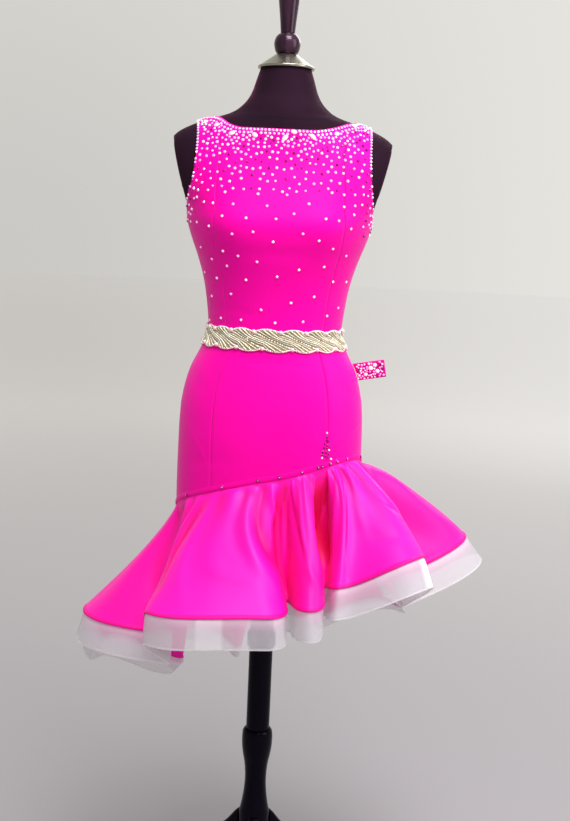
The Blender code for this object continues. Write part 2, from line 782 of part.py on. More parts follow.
def build_post(material):
    profile = [
        (POST_HEAD, POST_RADIUS - 0.002),
        (POST_HEAD - 0.002, POST_RADIUS),
        (POST_FOOT, POST_RADIUS),
        (POST_FOOT, ROD_RADIUS),
        (ROD_FOOT + 0.002, ROD_RADIUS),
        (ROD_FOOT, ROD_RADIUS - 0.002),
    ]
    turned_solid("upper_post", profile, material)
    inside = POST_RADIUS + SEAM_GAP
    edge = 0.003
    profile = [
        (COLLAR_FOOT, inside),
        (COLLAR_FOOT, COLLAR_RADIUS - edge),
        (COLLAR_FOOT + edge, COLLAR_RADIUS),
        (COLLAR_FOOT + COLLAR_HEIGHT - edge, COLLAR_RADIUS),
        (COLLAR_FOOT + COLLAR_HEIGHT, COLLAR_RADIUS - edge),
        (COLLAR_FOOT + COLLAR_HEIGHT, inside),
    ]
    turned_ring("post_collar", profile, material)


def turned_ring(name, profile, material, sides=24):
    """Ring of revolution whose profile closes on itself."""
    builder = bmesh.new()
    rings = []
    for height, radius in profile + profile[:1]:
        if len(rings) == len(profile):
            rings.append(rings[0])
            continue
        ring = []
        for side in range(sides):
            angle = 2 * math.pi * side / sides
            ring.append(builder.verts.new((radius * math.sin(angle), -radius * math.cos(angle), height)))
        rings.append(ring)
    skin_rings(builder, rings, capped=False)
    return add_object(name, builder, material)


def build_column(material):
    bore = ROD_RADIUS + ROD_CLEARANCE
    floor = ROD_FOOT - 0.001
    profile = [(floor, bore), (COLUMN_PROFILE[0][0], bore)] + COLUMN_PROFILE
    turned_solid("column", profile, material)


def build_legs(material):
    for name, turn in LEG_TURNS.items():
        angle = math.radians(turn)
        outward = Vector((math.sin(angle), -math.cos(angle), 0.0))
        aside = Vector((math.cos(angle), math.sin(angle), 0.0))
        builder = bmesh.new()
        rings = []
        for reach, top, bottom, half in LEG_STATIONS:
            chamfer = min(0.4 * half, (top - bottom) / 4)
            flat = half - chamfer
            outline = [
                (-flat, bottom), (flat, bottom), (half, bottom + chamfer), (half, top - chamfer),
                (flat, top), (-flat, top), (-half, top - chamfer), (-half, bottom + chamfer),
            ]
            ring = []
            for side, height in outline:
                ring.append(builder.verts.new(outward * reach + aside * side + Vector((0.0, 0.0, height))))
            rings.append(ring)
        skin_rings(builder, rings)
        add_object(name, builder, material)


def build_clamp_screw(material):
    """Thumb screw that clamps the rod at the column's head."""
    angle = math.radians(SCREW_TURN)
    outward = Vector((math.sin(angle), -math.cos(angle), 0.0))
    aside = Vector((math.cos(angle), math.sin(angle), 0.0))
    upward = Vector((0.0, 0.0, 1.0))
    builder = bmesh.new()
    rings = []
    profile = [(0.0, 0.0035), (0.004, 0.0035), (0.005, 0.0075), (0.011, 0.0080), (0.013, 0.0065)]
    for reach, radius in profile:
        ring = []
        for side in range(12):
            place = 2 * math.pi * side / 12
            around = aside * math.cos(place) * radius + upward * math.sin(place) * radius
            ring.append(builder.verts.new(outward * (SCREW_REACH + reach) + around + upward * SCREW_LEVEL))
        rings.append(ring)
    skin_rings(builder, rings)
    add_object("clamp_screw", builder, material)


def centre_on_floor():
    """Move everything so that the middle of the floor plan is at the origin."""
    things = [thing for thing in bpy.data.objects if thing.type == "MESH"]
    points = [vertex.co for thing in things for vertex in thing.data.vertices]
    middle = Vector((0.0, 0.0, 0.0))
    for axis in (0, 1):
        values = [point[axis] for point in points]
        middle[axis] = (min(values) + max(values)) / 2
    for thing in things:
        for vertex in thing.data.vertices:
            vertex.co -= middle


def build():
    clear_scene()
    lycra = make_material("fuchsia lycra", (0.90, 0.01, 0.42), 0.55)
    satin = make_material("fuchsia satin", (0.95, 0.03, 0.60), 0.30)
    horsehair = make_material("white horsehair", (0.88, 0.82, 0.86), 0.60)
    braid = make_material("cream gold braid", (0.75, 0.66, 0.45), 0.40, 0.3)
    stoned = make_material("stoned strip", (0.85, 0.10, 0.45), 0.35)
    jersey = make_material("black jersey", (0.030, 0.012, 0.035), 0.85)
    lacquer = make_material("black lacquer", (0.010, 0.006, 0.012), 0.22)
    nickel = make_material("nickel", (0.62, 0.60, 0.56), 0.25, 1.0)
    build_bodice(lycra)
    build_skirt(lycra)
    build_flounce(satin, horsehair)
    build_hip_band(lycra)
    build_belt(braid)
    build_hip_tab(stoned)
    build_torso(jersey)
    build_arm_plates(jersey)
    build_finial(nickel, lacquer)
    build_flange(lacquer)
    build_post(lacquer)
    build_column(lacquer)
    build_legs(lacquer)
    build_clamp_screw(nickel)
    centre_on_floor()


build()
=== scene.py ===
import math
import random
import bmesh
import bpy
import numpy as np
from mathutils import Matrix, Vector
from mathutils.bvhtree import BVHTree


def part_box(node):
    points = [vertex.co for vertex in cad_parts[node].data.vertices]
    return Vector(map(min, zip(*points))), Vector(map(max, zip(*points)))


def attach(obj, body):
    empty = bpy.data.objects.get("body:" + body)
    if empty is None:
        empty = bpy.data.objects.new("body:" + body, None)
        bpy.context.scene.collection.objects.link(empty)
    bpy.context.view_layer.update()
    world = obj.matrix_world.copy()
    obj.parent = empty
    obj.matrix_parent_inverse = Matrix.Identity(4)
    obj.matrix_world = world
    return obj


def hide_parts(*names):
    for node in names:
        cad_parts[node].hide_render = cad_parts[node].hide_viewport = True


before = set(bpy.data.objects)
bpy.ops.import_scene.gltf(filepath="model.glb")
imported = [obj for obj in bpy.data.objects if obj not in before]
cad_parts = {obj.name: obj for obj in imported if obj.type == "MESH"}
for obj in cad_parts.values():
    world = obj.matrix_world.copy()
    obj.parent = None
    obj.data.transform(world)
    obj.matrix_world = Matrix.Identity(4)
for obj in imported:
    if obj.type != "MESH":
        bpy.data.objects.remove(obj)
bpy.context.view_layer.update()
print("frame loaded")

# everything is drawn about the mast and moved onto it at the end of each piece
columnLow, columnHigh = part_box("column")
mast = np.array([(columnLow.x + columnHigh.x) / 2, (columnLow.y + columnHigh.y) / 2, 0.0])


# camera first, because some stones are set by where they show in its view
view = {"width": 570, "height": 821, "focal": 1150.0, "sensor": 36.0, "farthest": 60.0, "aside": 0.024,
        "back": 2.01, "eye": 1.33, "pitch": 8.68, "roll": 2.6}


def linked(name, data):
    item = bpy.data.objects.new(name, data)
    bpy.context.scene.collection.objects.link(item)
    return item


def addCamera():
    lens = bpy.data.cameras.new("studioCamera")
    lens.sensor_width = view["sensor"]
    lens.lens = view["focal"] / view["height"] * view["sensor"]
    lens.clip_end = view["farthest"]
    camera = linked("studioCamera", lens)
    bpy.context.scene.camera = camera
    place = Matrix.Translation((mast[0] + view["aside"], mast[1] - view["back"], view["eye"]))
    tilt = Matrix.Rotation(math.radians(90 - view["pitch"]), 4, "X")
    camera.matrix_world = place @ tilt @ Matrix.Rotation(math.radians(view["roll"]), 4, "Z")
    return camera


camera = addCamera()
cameraMatrix = camera.matrix_world.copy()


def viewRay(across, down):
    aim = Vector((across - view["width"] / 2, view["height"] / 2 - down, -view["focal"]))
    return cameraMatrix.translation, (cameraMatrix.to_3x3() @ aim).normalized()


# smooth curves through short tables


def hermite(start, startSlope, end, endSlope, share):
    square = share * share
    cube = square * share
    return ((2 * cube - 3 * square + 1) * start + (cube - 2 * square + share) * startSlope
            + (3 * square - 2 * cube) * end + (cube - square) * endSlope)


def smoothTable(rows, column):
    rows = sorted(rows)
    keys = np.array([row[0] for row in rows])
    values = np.array([row[column] for row in rows])
    low = np.maximum(np.arange(len(rows)) - 1, 0)
    high = np.minimum(np.arange(len(rows)) + 1, len(rows) - 1)
    slopes = (values[high] - values[low]) / (keys[high] - keys[low])

    def read(at):
        at = np.clip(at, keys[0], keys[-1])
        index = np.clip(np.searchsorted(keys, at, side="right") - 1, 0, len(keys) - 2)
        span = keys[index + 1] - keys[index]
        return hermite(values[index], slopes[index] * span, values[index + 1], slopes[index + 1] * span,
                       (at - keys[index]) / span)

    return read


def ease(share):
    share = np.clip(share, 0.0, 1.0)
    return share * share * (3 - 2 * share)


def unit(vectors):
    return vectors / np.maximum(np.linalg.norm(vectors, axis=-1, keepdims=True), 1e-12)


def runLengths(points):
    # the length from the first point to each of them
    return np.concatenate([[0.0], np.cumsum(np.linalg.norm(np.diff(points, axis=0), axis=1))])


def offLine(across, up, way, bow):
    # the share along a bowed line from the origin, and the distance from it
    share = np.clip((across * way[0] + up * way[1]) / way.dot(way), 0, 1)
    bend = bow * np.sin(share * math.pi) * np.linalg.norm(way)
    aside = across - share * way[0] + bend * way[1] / np.linalg.norm(way)
    return share, np.hypot(aside, up - share * way[1])


# the body under the dress: height, half width, front depth, back depth, squareness
bodySections = [
    (1.6060, 0.0437, 0.0446, 0.0457, 2.00), (1.5900, 0.0490, 0.0478, 0.0518, 2.00),
    (1.5620, 0.0588, 0.0550, 0.0605, 2.00), (1.5435, 0.0728, 0.0635, 0.0695, 1.90),
    (1.5305, 0.0930, 0.0690, 0.0760, 1.66), (1.5200, 0.1260, 0.0720, 0.0810, 1.60),
    (1.5085, 0.1570, 0.0740, 0.0850, 1.60), (1.4950, 0.1810, 0.0760, 0.0890, 1.75),
    (1.4780, 0.1930, 0.0780, 0.0920, 2.00), (1.4450, 0.1890, 0.0850, 0.1000, 2.50),
    (1.4100, 0.1780, 0.0950, 0.1040, 2.60), (1.3750, 0.1620, 0.1050, 0.1050, 2.50),
    (1.3450, 0.1555, 0.1120, 0.1020, 2.35), (1.3210, 0.1480, 0.1110, 0.0995, 2.30),
    (1.2870, 0.1355, 0.1040, 0.0950, 2.25), (1.2520, 0.1252, 0.0960, 0.0910, 2.20),
    (1.2180, 0.1190, 0.0905, 0.0885, 2.15), (1.1830, 0.1148, 0.0880, 0.0875, 2.10),
    (1.1580, 0.1140, 0.0880, 0.0890, 2.10), (1.1310, 0.1250, 0.0910, 0.0930, 2.15),
    (1.0950, 0.1425, 0.0975, 0.1010, 2.20), (1.0600, 0.1525, 0.1035, 0.1100, 2.25),
    (1.0240, 0.1575, 0.1080, 0.1180, 2.30), (0.9700, 0.1595, 0.1110, 0.1225, 2.35),
    (0.8620, 0.1600, 0.1080, 0.1190, 2.35), (0.7900, 0.1565, 0.1040, 0.1140, 2.35),
    (0.7450, 0.1490, 0.0980, 0.1070, 2.30),
]
bust = {"turn": 33.0, "level": 1.3430, "spread": 21.0, "tall": 0.0430, "rise": 0.0085}
# the body is cut off by a leaning flat at each arm, and by an upright one below it
armPlate = {"level": 1.4380, "lean": 0.240, "reach": 0.1750, "least": 0.1603}
halfWidthAt, frontDepthAt, backDepthAt, squarenessAt = (smoothTable(bodySections, c) for c in (1, 2, 3, 4))


def skinPoint(turn, height):
    turn, height = np.broadcast_arrays(np.asarray(turn, float), np.asarray(height, float))
    angle = np.radians(turn)
    power = 2 / squarenessAt(height)
    sine, cosine = np.sin(angle), np.cos(angle)
    side = halfWidthAt(height) * np.sign(sine) * np.abs(sine) ** power
    depth = np.where(cosine > 0, frontDepthAt(height), backDepthAt(height))
    ahead = -depth * np.sign(cosine) * np.abs(cosine) ** power
    for breast in (-bust["turn"], bust["turn"]):
        off = (((turn - breast + 180) % 360 - 180) / bust["spread"]) ** 2
        off = off + ((height - bust["level"]) / bust["tall"]) ** 2
        ahead = ahead - bust["rise"] * np.exp(-off)
    flat = armPlate["reach"] + (height - armPlate["level"]) * armPlate["lean"]
    limit = np.maximum(armPlate["least"], flat)
    return np.stack([np.sign(side) * np.minimum(np.abs(side), limit), ahead, height], -1)


def skinNormal(turn, height):
    turnStep, heightStep = 0.5, 0.0008
    across = skinPoint(turn + turnStep, height) - skinPoint(turn - turnStep, height)
    up = skinPoint(turn, height + heightStep) - skinPoint(turn, height - heightStep)
    return unit(np.cross(across, up))


def keptOff(points, least):
    # points pushed out so that they stand at least so far off the body
    height = points[..., 2]
    power = squarenessAt(height)
    depth = np.where(points[..., 1] < 0, frontDepthAt(height), backDepthAt(height))
    far = (np.abs(points[..., 0]) / halfWidthAt(height)) ** power + (np.abs(points[..., 1]) / depth) ** power
    radius = np.hypot(points[..., 0], points[..., 1])
    grow = np.maximum(1.0, 1 / far ** (1 / power) + least / radius)
    return points * np.stack([grow, grow, np.ones_like(grow)], -1)


def clothPoint(turn, height, out):
    turn, height = np.broadcast_arrays(np.asarray(turn, float), np.asarray(height, float))
    return skinPoint(turn, height) + skinNormal(turn, height) * np.asarray(out)[..., None]


# thin shells from two grids of points, one over the other


def quadArray(rows, columns, ring):
    across = np.arange(columns if ring else columns - 1)
    down = np.arange(rows - 1)
    here, row = np.meshgrid(across, down)
    there = (here + 1) % columns
    return np.stack([row * columns + here, row * columns + there,
                     (row + 1) * columns + there, (row + 1) * columns + here], -1).reshape(-1, 4)


def gridSpans(points, ring):
    # lengths along the middle row and the middle column, for a cloth's own measure
    middle = points[len(points) // 2]
    if ring:
        middle = np.concatenate([middle, middle[:1]])
    return runLengths(middle), runLengths(points[:, points.shape[1] // 2])


def sheetArea(points, ring):
    quads = quadArray(points.shape[0], points.shape[1], ring)
    corners = points.reshape(-1, 3)[quads]
    half = np.cross(corners[:, 2] - corners[:, 0], corners[:, 3] - corners[:, 1])
    return float(np.linalg.norm(half, axis=1).sum() / 2)


def shellPiece(name, outer, inner, finish, ring=False, marks=None):
    rows, columns = outer.shape[:2]
    count = rows * columns
    quads = quadArray(rows, columns, ring)
    faces = [quads, quads[:, ::-1] + count]
    line = np.arange(columns if ring else columns - 1)
    after = (line + 1) % columns
    for row in (0, rows - 1):
        near = row * columns
        rim = np.stack([near + line, near + after, near + after + count, near + line + count], -1)
        faces.append(rim[:, ::-1] if row == 0 else rim)
    if not ring:
        down = np.arange(rows - 1)
        for column in (0, columns - 1):
            upper, lower = down * columns + column, (down + 1) * columns + column
            rim = np.stack([upper, lower, lower + count, upper + count], -1)
            faces.append(rim if column == 0 else rim[:, ::-1])
    faces = np.concatenate(faces)
    across, down = gridSpans(outer, ring)
    corners = faces % count
    place = corners % columns
    wrapped = ring & (place.max(axis=1, keepdims=True) - place > columns // 2)
    spot = np.where(wrapped, place + columns, place)
    layer = np.stack([across[np.minimum(spot, len(across) - 1)], down[corners // columns]], -1)
    mesh = bpy.data.meshes.new(name)
    mesh.from_pydata(np.concatenate([outer.reshape(-1, 3), inner.reshape(-1, 3)]) + mast, [], faces.tolist())
    mesh.uv_layers.new(name="cloth").data.foreach_set("uv", layer.reshape(-1).astype(np.float32))
    for mark, values in (marks or {}).items():
        both = np.concatenate([values.reshape(-1)] * 2).astype(np.float32)
        mesh.attributes.new(mark, "FLOAT", "POINT").data.foreach_set("value", both)
    return meshPiece(name, mesh, finish)


def meshPiece(name, mesh, finish):
    shape = bmesh.new()
    shape.from_mesh(mesh)
    if shape.calc_volume(signed=True) < 0:
        bmesh.ops.reverse_faces(shape, faces=shape.faces[:])
        shape.to_mesh(mesh)
    shape.free()
    mesh.shade_smooth()
    mesh.materials.append(finish)
    piece = linked(name, mesh)
    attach(piece, "form")
    return piece


# shader maths: a wire is a socket that can be added, multiplied and so on


class Wire:
    def __init__(self, finish, socket):
        self.finish = finish
        self.socket = socket

    def maths(self, operation, first, second=0.0):
        return self.finish.add("ShaderNodeMath", {"operation": operation}, {0: first, 1: second})

    def __add__(self, other):
        return self.maths("ADD", self, other)

    def __radd__(self, other):
        return self.maths("ADD", other, self)

    def __sub__(self, other):
        return self.maths("SUBTRACT", self, other)

    def __rsub__(self, other):
        return self.maths("SUBTRACT", other, self)

    def __mul__(self, other):
        return self.maths("MULTIPLY", self, other)

    def __rmul__(self, other):
        return self.maths("MULTIPLY", other, self)

    def __truediv__(self, other):
        return self.maths("DIVIDE", self, other)

    def sine(self):
        return self.maths("SINE", self)

    def fromTo(self, low, high, newLow=0.0, newHigh=1.0):
        return self.finish.add("ShaderNodeMapRange", {"interpolation_type": "SMOOTHSTEP"},
                               {0: self, 1: low, 2: high, 3: newLow, 4: newHigh})


class Shading:
    # the nodes of a material or of the world, and the shader that they feed
    def __init__(self, holder, shader, fixed):
        holder.use_nodes = True
        self.tree = holder.node_tree
        self.shader = self.tree.nodes[shader]
        for socket, value in fixed.items():
            self.feed(self.shader.inputs[socket.replace("_", " ")], value)

    def feed(self, socket, value):
        if isinstance(value, Wire):
            self.tree.links.new(value.socket, socket)
        elif isinstance(value, tuple) and len(value) == 3 and len(socket.default_value) == 4:
            socket.default_value = (*value, 1.0)
        else:
            socket.default_value = value

    def add(self, kind, settings=None, inputs=None, output=0):
        node = self.tree.nodes.new(kind)
        for setting, value in (settings or {}).items():
            setattr(node, setting, value)
        for key, value in (inputs or {}).items():
            self.feed(node.inputs[key], value)
        return Wire(self, node.outputs[output])

    def wear(self, socket, value):
        self.feed(self.shader.inputs[socket], value)

    def parts(self, place):
        split = self.add("ShaderNodeSeparateXYZ", {}, {0: place}).socket.node
        return [Wire(self, output) for output in split.outputs]

    def mix(self, share, first, second):
        return self.add("ShaderNodeMix", {"data_type": "RGBA"}, {0: share, 6: first, 7: second}, 2)


class Finish(Shading):
    def __init__(self, name, **fixed):
        self.material = bpy.data.materials.new(name)
        super().__init__(self.material, "Principled BSDF", fixed)

    def own(self):
        return self.add("ShaderNodeTexCoord", output="Object")

    def clothMap(self, across=1.0, down=1.0):
        return self.add("ShaderNodeMapping", {}, {0: self.add("ShaderNodeUVMap", {"uv_map": "cloth"}),
                                                  "Scale": (across, down, 1.0)})

    def mark(self, name, output="Fac"):
        return self.add("ShaderNodeAttribute", {"attribute_name": name}, output=output)

    def noise(self, place, scale, detail=2.0):
        return self.add("ShaderNodeTexNoise", {}, {"Vector": place, "Scale": scale, "Detail": detail})

    def bump(self, height, distance, strength):
        return self.add("ShaderNodeBump", {}, {"Height": height, "Distance": distance, "Strength": strength})


def weaveHeight(finish, acrossPitch, downPitch):
    # two crossed waves, one thread to a wave
    across, down, _ = finish.parts(finish.clothMap())
    warp = (across * (2 * math.pi / acrossPitch)).sine()
    weft = (down * (2 * math.pi / downPitch)).sine()
    return warp * weft


def makeLycra():
    look = {"fuchsia": (0.84, 0.0005, 0.32), "faded": (0.88, 0.002, 0.38), "deep": (0.55, 0.0, 0.15),
            "knit": 0.0009}
    finish = Finish("fuchsiaLycra", Roughness=0.46, Sheen_Weight=0.12, Sheen_Roughness=0.4,
                    Sheen_Tint=(1.0, 0.2, 0.8), Specular_IOR_Level=0.24, Specular_Tint=(1.0, 0.25, 0.95))
    drift = finish.noise(finish.own(), 9.0).fromTo(0.35, 0.7)
    colour = finish.mix(drift * 0.16, look["fuchsia"], look["faded"])
    finish.wear("Base Color", finish.mix(finish.mark("seam") * 0.25, colour, look["deep"]))
    knit = weaveHeight(finish, look["knit"], look["knit"] * 0.8)
    finish.wear("Normal", finish.bump(knit, 0.00005, 0.35))
    return finish.material


def makeSatin():
    look = {"fuchsia": (0.92, 0.003, 0.38), "faded": (0.95, 0.006, 0.46), "roll": (0.74, 0.0, 0.24),
            "foldShade": (0.60, 0.0, 0.012), "thread": 0.0006}
    finish = Finish("fuchsiaSatin", Sheen_Weight=0.05, Sheen_Roughness=0.4, Sheen_Tint=(1.0, 0.3, 0.95),
                    Specular_IOR_Level=0.44, Specular_Tint=(1.0, 0.36, 0.98))
    drift = finish.noise(finish.clothMap(3.0, 14.0), 2.2, 3.0)
    colour = finish.mix(drift.fromTo(0.4, 0.75) * 0.18, look["fuchsia"], look["faded"])
    roll = finish.mark("hem")
    # painted shade in the creases, the gathers and the lobes turned from the light
    colour = finish.mix(finish.mark("foldShade") * 0.85, colour, look["foldShade"])
    # the rolled hem is painted darker, a painted shade along the roll
    finish.wear("Base Color", finish.mix(roll, colour, look["roll"]))
    finish.wear("Roughness", 0.43 + drift * 0.10 + roll * 0.08)
    threads = weaveHeight(finish, look["thread"], look["thread"] * 0.5)
    finish.wear("Normal", finish.bump(threads, 0.00003, 0.3))
    return finish.material


def makeHorsehair():
    look = {"sheer": (0.60, 0.57, 0.61), "doubled": (0.90, 0.88, 0.90), "blush": (0.74, 0.42, 0.62),
            "glow": (0.95, 0.92, 0.95), "blushGlow": (1.0, 0.6, 0.85), "pitch": 0.0022, "open": 0.36}
    finish = Finish("whiteHorsehair", Roughness=0.42, Sheen_Weight=0.2, Specular_IOR_Level=0.4,
                    Emission_Strength=0.07)
    # a faint emission is painted light, standing in for light shining through the sheer hair, pinker at the
    # top
    finish.wear("Emission Color", finish.mix(finish.mark("blush"), look["glow"], look["blushGlow"]))
    hem = finish.mark("edge")
    sheer = finish.mix(finish.mark("blush"), look["sheer"], look["blush"])
    finish.wear("Base Color", finish.mix(hem, sheer, look["doubled"]))
    # the crossed hairs run on the slant
    across, down, _ = finish.parts(finish.clothMap())
    turn = 2 * math.pi / look["pitch"]
    cross = ((across + down) * turn).sine() * ((across - down) * turn).sine()
    finish.wear("Alpha", look["open"] + cross * 0.10 + hem * 0.5)
    finish.wear("Normal", finish.bump(cross, 0.0002, 0.5))
    return finish.material


def makeJersey():
    look = {"black": (0.013, 0.003, 0.010), "worn": (0.022, 0.005, 0.017), "seam": (0.006, 0.002, 0.008),
            "mauve": (0.95, 0.22, 0.52), "rib": 0.0013}
    finish = Finish("blackJersey", Roughness=0.80, Sheen_Weight=0.20, Sheen_Roughness=0.24,
                    Sheen_Tint=look["mauve"], Specular_IOR_Level=0.09)
    drift = finish.noise(finish.own(), 14.0).fromTo(0.3, 0.75)
    colour = finish.mix(drift * 0.4, look["black"], look["worn"])
    finish.wear("Base Color", finish.mix(finish.mark("seam") * 0.7, colour, look["seam"]))
    knit = weaveHeight(finish, look["rib"], look["rib"] * 0.7)
    finish.wear("Normal", finish.bump(knit, 0.00012, 0.5))
    return finish.material


def makeLacquer():
    finish = Finish("blackLacquer", Base_Color=(0.002, 0.001, 0.004), Coat_Weight=0.03, Coat_Roughness=0.05,
                    Specular_IOR_Level=0.06, Specular_Tint=(0.8, 0.7, 1.0))
    wear = finish.noise(finish.own(), 38.0, 5.0).fromTo(0.45, 0.75)
    finish.wear("Roughness", 0.16 + wear * 0.16)
    grain = finish.noise(finish.own(), 120.0)
    finish.wear("Normal", finish.bump(grain, 0.0004, 0.12))
    return finish.material


def makeMahogany():
    # the ball and spindle show a red-brown stain under their lacquer
    look = {"stain": (0.014, 0.003, 0.011), "grain": (0.042, 0.012, 0.030)}
    finish = Finish("stainedLacquer", Coat_Weight=0.16, Coat_Roughness=0.06, Specular_IOR_Level=0.22)
    place = finish.add("ShaderNodeMapping", {}, {0: finish.own(), "Scale": (60.0, 60.0, 7.0)})
    grain = finish.noise(place, 1.6, 4.0)
    finish.wear("Base Color", finish.mix(grain.fromTo(0.35, 0.7), look["stain"], look["grain"]))
    finish.wear("Roughness", 0.20 + grain * 0.10)
    return finish.material


def makeNickel():
    finish = Finish("polishedNickel", Base_Color=(0.34, 0.32, 0.26), Metallic=1.0)
    haze = finish.noise(finish.own(), 55.0, 4.0).fromTo(0.4, 0.8)
    finish.wear("Roughness", 0.26 + haze * 0.14)
    place = finish.add("ShaderNodeMapping", {}, {0: finish.own(), "Scale": (1.0, 1.0, 9.0)})
    finish.wear("Normal", finish.bump(finish.noise(place, 90.0), 0.0003, 0.15))
    return finish.material


def makeCrystal():
    # the stones glow faintly in their own tint, a painted glint
    finish = Finish("crystalStones", Roughness=0.06, Coat_Roughness=0.03, Specular_IOR_Level=0.35,
                    Emission_Strength=0.14)
    tint = finish.mark("tint", "Color")
    finish.wear("Base Color", tint)
    # the dark stones glint less than the pale ones
    glint = finish.add("ShaderNodeSeparateColor", {}, {0: tint}, 1).fromTo(0.05, 0.45)
    finish.wear("Coat Weight", glint)
    finish.wear("Metallic", glint * 0.25)
    finish.wear("Emission Color", tint)
    return finish.material


def makeBeads():
    finish = Finish("goldBeads", Roughness=0.32, Metallic=0.45, Coat_Weight=0.35, Coat_Roughness=0.10)
    finish.wear("Base Color", finish.mark("tint", "Color"))
    return finish.material


def makeBraid():
    look = {"dull": (0.34, 0.27, 0.14), "cream": (0.50, 0.43, 0.26), "shaded": (0.20, 0.13, 0.06),
            "cord": 0.0012}
    finish = Finish("creamBraid", Roughness=0.6, Sheen_Weight=0.3)
    drift = finish.noise(finish.clothMap(), 400.0)
    colour = finish.mix(drift, look["dull"], look["cream"])
    # painted shade in the grooves between the bundles, carried by the seam mark
    finish.wear("Base Color", finish.mix(finish.mark("seam") * 0.8, colour, look["shaded"]))
    finish.wear("Normal", finish.bump(weaveHeight(finish, look["cord"], look["cord"]), 0.0002, 0.6))
    return finish.material


lycra = makeLycra()
satin = makeSatin()
horsehair = makeHorsehair()
jersey = makeJersey()
lacquer = makeLacquer()
mahogany = makeMahogany()
nickel = makeNickel()
crystal = makeCrystal()
beads = makeBeads()
braid = makeBraid()
print("finishes made")


# bodice and skirt panels
# heights in metres, and shares of the half width from centre to side seam
dress = {"waistSeam": 1.1535, "frontNeck": 1.5010, "backNeck": 1.4250, "neckPoint": 1.5195,
         "shoulder": 1.5125, "underarm": 1.3300, "princess": 0.49, "neckShare": 0.86,
         "leftClimb": (0.38, 0.42), "rightClimb": (0.27, 0.62), "backPlateau": 0.93, "leftArmIn": 2.8,
         "leftArmFrom": 1.385, "clear": 0.0009, "wall": 0.0016, "seamGap": 0.0003,
         "shell": 0.0009, "least": 0.0004, "most": 0.0042, "seamDip": 0.0004, "seamWide": 0.0013,
         "cell": 0.0032}
clothOut = dress["clear"] + dress["wall"]
armholeEdge = [(1.5125, 0.1468), (1.4900, 0.1468), (1.4500, 0.1475), (1.4200, 0.1500),
               (1.3950, 0.1530), (1.3750, 0.1555), (1.3500, 0.1550), (1.3300, 0.1508)]
armholeAt = smoothTable(armholeEdge, 1)


def armholeTurn(height):
    ratio = np.minimum(armholeAt(height) / halfWidthAt(height), 1.0)
    turn = np.degrees(np.arcsin(ratio ** (squarenessAt(height) / 2)))
    return np.where((height >= dress["shoulder"]) | (height <= dress["underarm"]), 90.0, turn)


def evenTurn(height):
    # the armhole's turn evened over a hand's breadth, for seams that run past it
    shifts = np.linspace(-0.045, 0.045, 13)
    return sum(armholeTurn(height + shift) for shift in shifts) / len(shifts)


def bodiceTop(across, centre):
    share = np.abs(across) / dress["neckShare"]
    beyond = (np.abs(across) - dress["neckShare"]) / (1 - dress["neckShare"])
    climb = np.minimum(share / dress["backPlateau"], 1) ** 2.2
    if centre == dress["frontNeck"]:
        left, right = (ease((share - start) / long)
                       for start, long in (dress["leftClimb"], dress["rightClimb"]))
        climb = np.where(across < 0, left, right)
    inside = centre + (dress["neckPoint"] - centre) * climb
    outside = dress["neckPoint"] + (dress["shoulder"] - dress["neckPoint"]) * beyond
    return np.where(share <= 1, inside, outside)


def bodicePlace(across, up, centre):
    # the sides of the grid run into the armhole's edge, further in at the left one
    across, up = np.broadcast_arrays(np.asarray(across, float), np.asarray(up, float))
    height = dress["waistSeam"] + (bodiceTop(across, centre) - dress["waistSeam"]) * up
    lift = ease((up - 0.45) / 0.55)
    spread = (1 - lift) * across + lift * np.clip(across / dress["neckShare"], -1, 1)
    toEdge = ease((np.abs(spread) - 0.60) / 0.40)
    further = dress["leftArmIn"] * ease((height - dress["leftArmFrom"]) / 0.03) * (spread < 0)
    edgeTurn = armholeTurn(height) - further
    return spread * (evenTurn(height) + (edgeTurn - evenTurn(height)) * toEdge), height


def frontPlace(across, up):
    return bodicePlace(across, up, dress["frontNeck"])


def backPlace(across, up):
    turn, height = bodicePlace(across, up, dress["backNeck"])
    return 180.0 - turn, height


hip = {"level": 0.8765, "aside": 0.047, "ahead": 0.062, "crown": 0.0165}


def hipSeam(turn):
    angle = np.radians(turn)
    slant = hip["aside"] * np.sin(angle) + hip["ahead"] * np.cos(angle)
    return hip["level"] + slant - hip["crown"] * np.cos(2 * angle)


def skirtPlace(turn, down):
    return turn, dress["waistSeam"] + (hipSeam(turn) - dress["waistSeam"]) * down


def princessTurn(down):
    # the front seams draw together towards the hip
    return 37.0 - 4.0 * down


def frontSkirtPlace(across, down):
    return skirtPlace(across * princessTurn(down), down)


def sideSkirtPlace(across, down):
    princess = princessTurn(down)
    turn = princess + (90.0 - princess) * (np.abs(across) - 1)
    return skirtPlace(np.sign(across) * turn, down)


